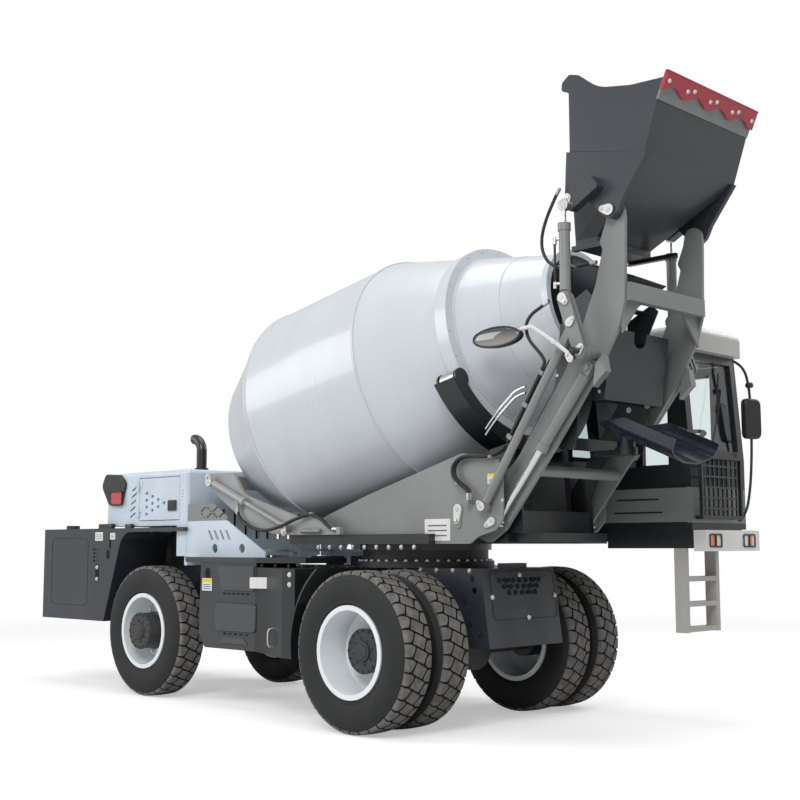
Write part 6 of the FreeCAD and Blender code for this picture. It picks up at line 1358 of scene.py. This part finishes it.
cab_parts = []
for y, finish in BUMPER_LAMPS:
    cab_parts += [plate(LAMP_SHAPE, at(LAMP_X, y, LAMP_Z), LEFTWARDS, UP, 0.014, finish, 0.004),
                  seam(LAMP_FRAME, at(LAMP_FRAME_X, y, LAMP_Z), LEFTWARDS, UP, 0.010, "plastic", 0.006)]
# The two pressed grooves are dark strips of seam finish, painted shade in the grooves; the two long seams
# are dark joints.
cab_parts += [on_side(rounded(length, width, width / 2), x, CAB_SIDE_Y, z, -1, height, "seam", bevel)
              for x, z, length, width, height, bevel in CAB_GROOVES]
arm_line = route_line(placed(MIRROR_ARM), "mirror arm", 6)
head_shape = rounded(0.165, 0.300, 0.040)
cab_parts += [swept(placed(WIPER), circle(0.006, 10), "plastic"),
              swept(row(at(1.456, 1.130, 2.230), at(1.425, 1.215, 2.500), 4), circle(0.007, 8), "plastic"),
              turned(WIPER_HUB, at(1.452, 1.000, 1.930), (1, 0, 0), "plastic", 20),
              swept(arm_line, circle(0.010, 10), "plastic", (1.0, 0.0, 0.0)),
              turned(CLAMP, at(1.522, 1.487, 2.430), UP, "plastic", 20),
              plate(head_shape, at(1.500, 1.510, 2.180), HEAD_OUT, UP, 0.045, "plastic", 0.012),
              plate(head_shape * 0.9, at(1.499, 1.509, 2.180), -HEAD_OUT, UP, 0.003, "mirror", 0.001)]
cab_fittings = piece("cab_front_fittings", *stacked(cab_parts), "turntable")
print("cab fittings:", len(cab_parts), "shapes")

# %% [markdown]
# ## Seams of the drum
#
# Rolled plates are welded to each other round the drum. Each weld is a low bead, and the two that join the
# cones stand a little higher. A bead is a flat half oval turned about the drum's own axis.

# %% Weld beads and bolts of the track ring
DRUM_LEAN = math.radians(12.36)
DRUM_AXIS = np.array([math.cos(DRUM_LEAN), 0.0, math.sin(DRUM_LEAN)])
DRUM_ZERO = at(-1.438, 0.0, 2.291)
DRUM_BODY_END = 1.214
DRUM_BODY_R = 0.926
DRUM_BODY_FALL = 0.029
CONE_SLOPE = 0.342
RING_X = 1.922
BEADS = ((0.0, 0.008, 0.012), (DRUM_BODY_END, 0.006, 0.010), (2.300, 0.002, 0.006))


def drum_radius(along):
    """The drum's radius at a distance from its first seam: nearly level, then down the front cone."""
    body = DRUM_BODY_FALL * min(along, DRUM_BODY_END) / DRUM_BODY_END
    return DRUM_BODY_R - body - CONE_SLOPE * max(0.0, along - DRUM_BODY_END)


def bead(along, rise=0.004, width=0.012):
    """A weld bead round the drum: a flat half oval turned about the drum's axis."""
    radius = drum_radius(along)
    shoulder = radius + rise * 0.8
    profile = [(along - width, radius - 0.003), (along - width * 0.6, shoulder), (along, radius + rise),
               (along + width * 0.6, shoulder), (along + width, radius - 0.003)]
    return turned(profile, DRUM_ZERO, DRUM_AXIS, "drum_bead", 128)


FINISH["drum_bead"] = paint("drum weld beads", (0.60, 0.62, 0.64), 0.40, 0.2, 0.06, 0.0002)
drum_parts = [bead(*sizes) for sizes in BEADS]
ring_face = DRUM_ZERO + DRUM_AXIS * (RING_X + 0.052)
drum_parts.append(ring_of(ring_face, DRUM_AXIS, drum_radius(RING_X) + 0.034, 24, 0.011, "drum_bead"))
drum_parts += [bead(RING_X + reach, 0.007, 0.012) for reach in (-0.056, 0.056)]
drum_seams = piece("drum_weld_beads", *stacked(drum_parts), "drum")
print("drum beads:", len(drum_parts), "faces", len(drum_seams.data.polygons))

# %% [markdown]
# ## The portal, the guard pipes and the chute
#
# Black plates come alive through their bolts: pale heads along each edge. Two bent pipes, one above the
# other, guard the grease line of the drum's rollers.

# %% Bolts of the portal and discharge plates, guard pipes
PORTAL_BOLTS = [(1.205, 2.186), (1.355, 2.206), (1.330, 2.560), (1.250, 2.620), (1.180, 2.360),
                (0.975, 1.930), (1.290, 2.300)]
PORTAL_Y = 0.3815
DISCHARGE_Y = 0.3205
DISCHARGE_BOLTS = [(1.470, 2.235), (1.500, 2.470), (1.400, 2.440)]
PIPE_BEND = [(0.700, -0.560, 1.990), (0.820, -0.600, 2.081), (0.931, -0.600, 2.170), (1.000, -0.600, 2.224),
             (1.077, -0.600, 2.237)]
portal_parts = [side_bolts(PORTAL_BOLTS, PORTAL_Y, side, 0.022, "keeper") for side in (-1, 1)]
for lift in (0.0, 0.040):
    line = route_line(placed(PIPE_BEND, (0.0, 0.0, lift)), "guard pipe", 6)
    portal_parts.append(swept(line, circle(0.009, 12), "chrome", (0.0, 1.0, 0.0)))
portal_fittings = piece("portal_bolts_and_pipes", *stacked(portal_parts), "turntable")
plate_bolts = [side_bolts(DISCHARGE_BOLTS, DISCHARGE_Y, side, 0.022, "keeper") for side in (-1, 1)]
hood_bolts = piece("discharge_hood_bolts", *stacked(plate_bolts), "turntable")
print("portal fittings:", len(portal_parts) + len(plate_bolts), "shapes")

# %% [markdown]
# ## The camera
#
# A machine nearly seven metres long looks right through a moderately long lens from about ten metres, at
# the height of a person's chest. The camera stands off the front right corner and looks back along the
# machine, tipped up a little, so the raised hopper fits in.

# %% Camera off the front right corner
CAMERA_PLACE = (7.4945, -7.1705, 1.249)
CAMERA_YAW = math.radians(44.77)
CAMERA_PITCH = math.radians(6.54)
camera_data = bpy.data.cameras.new("camera")
camera_data.lens = 57.12
camera_data.sensor_width = 36.0
camera = bpy.data.objects.new("camera", camera_data)
camera.location = CAMERA_PLACE
camera.rotation_euler = (math.pi / 2 + CAMERA_PITCH, math.radians(0.12), CAMERA_YAW)
scene.collection.objects.link(camera)
scene.camera = camera
print("camera", CAMERA_PLACE, "lens", camera_data.lens, "mm")

# %% [markdown]
# ## Floor, backdrop and light
#
# A plain studio: one large pale floor that catches the shadow, and a world that is white to the camera and
# through glass, dimmer in reflections, and lights the machine only mildly. The level matters more than the
# look of the lamps: a colour has to come out about as it was written, so that the same model fits under
# other light.

# %% Floor
FLOOR_R = 16.0
FLOOR_LIFT = 0.42


def pale_floor():
    """A disc around the machine: pale for the lamps, white for the camera, and clear towards its edge."""
    turn = full_turn(96)
    ring = np.stack([FLOOR_R * np.cos(turn), FLOOR_R * np.sin(turn), np.zeros(96)], axis=1)
    mesh = bpy.data.meshes.new("floor")
    mesh.from_pydata(ring.tolist(), [], [list(range(96))])
    floor = bpy.data.objects.new("floor", mesh)
    scene.collection.objects.link(floor)
    finish = Finish("studio floor", (0.80, 0.80, 0.80), 0.9, Specular_IOR_Level=0.1)
    cloud = finish.noise(0.6, 2.0) * 0.2
    finish.put("Base Color", finish.mixed(cloud, (0.82, 0.82, 0.82, 1.0), (0.78, 0.78, 0.78, 1.0)))
    seen = finish.node("ShaderNodeLightPath", {}, {}, "Is Camera Ray")
    lift = finish.mixed(seen, (0.0, 0.0, 0.0, 1.0), (FLOOR_LIFT, FLOOR_LIFT, FLOOR_LIFT, 1.0))
    finish.put("Emission Color", lift)
    finish.put("Emission Strength", 1.0)
    far = finish.node("ShaderNodeVectorMath", {"operation": "LENGTH"}, {0: finish.place}, 1)
    finish.put("Alpha", 1.0 - far.between(6.0, FLOOR_R - 1.0))
    mesh.materials.append(finish.material)


pale_floor()
print("floor:", 2 * FLOOR_R, "m across")

# %% Lamps
AIM = at(-0.6, 0.0, 1.7)


def soft_lamp(name, place, size, watts, tint=(1.0, 1.0, 1.0)):
    """A square soft box that looks at the middle of the machine."""
    data = bpy.data.lights.new(name, "AREA")
    data.size = size
    data.energy = watts
    data.color = tint
    lamp = bpy.data.objects.new(name, data)
    lamp.location = place
    look = AIM - np.array(place)
    lamp.rotation_euler = (math.acos(-look[2] / np.linalg.norm(look)), 0.0,
                           math.atan2(look[1], look[0]) - math.pi / 2)
    scene.collection.objects.link(lamp)


soft_lamp("key", (6.5, -9.5, 8.5), 5.0, 760.0)
soft_lamp("side", (-8.0, -8.5, 6.0), 6.0, 380.0)
soft_lamp("top", (0.5, 0.5, 11.0), 7.0, 420.0)
soft_lamp("far", (3.0, 9.5, 7.0), 6.0, 300.0)


# %% World
def studio_world(level, mirror_share):
    """White to the camera and through glass, half so to mirrors, and grey of a level where it lights."""
    world = bpy.data.worlds.new("studio")
    world.use_nodes = True
    scene.world = world
    tree = world.node_tree
    path = tree.nodes.new("ShaderNodeLightPath")
    seen = tree.nodes.new("ShaderNodeMath")
    seen.operation = "MAXIMUM"
    tree.links.new(path.outputs["Is Camera Ray"], seen.inputs[0])
    tree.links.new(path.outputs["Is Transmission Ray"], seen.inputs[1])
    mirrored = tree.nodes.new("ShaderNodeMath")
    mirrored.operation = "MULTIPLY"
    tree.links.new(path.outputs["Is Glossy Ray"], mirrored.inputs[0])
    mirrored.inputs[1].default_value = mirror_share
    both = tree.nodes.new("ShaderNodeMath")
    both.operation = "MAXIMUM"
    tree.links.new(seen.outputs[0], both.inputs[0])
    tree.links.new(mirrored.outputs[0], both.inputs[1])
    strength = tree.nodes.new("ShaderNodeMapRange")
    strength.inputs["To Min"].default_value = level
    strength.inputs["To Max"].default_value = 1.0
    tree.links.new(both.outputs[0], strength.inputs["Value"])
    tree.links.new(strength.outputs[0], tree.nodes["Background"].inputs["Strength"])
    tree.nodes["Background"].inputs["Color"].default_value = (1.0, 1.0, 1.0, 1.0)


studio_world(0.32, 0.45)
scene.view_settings.view_transform = "Standard"
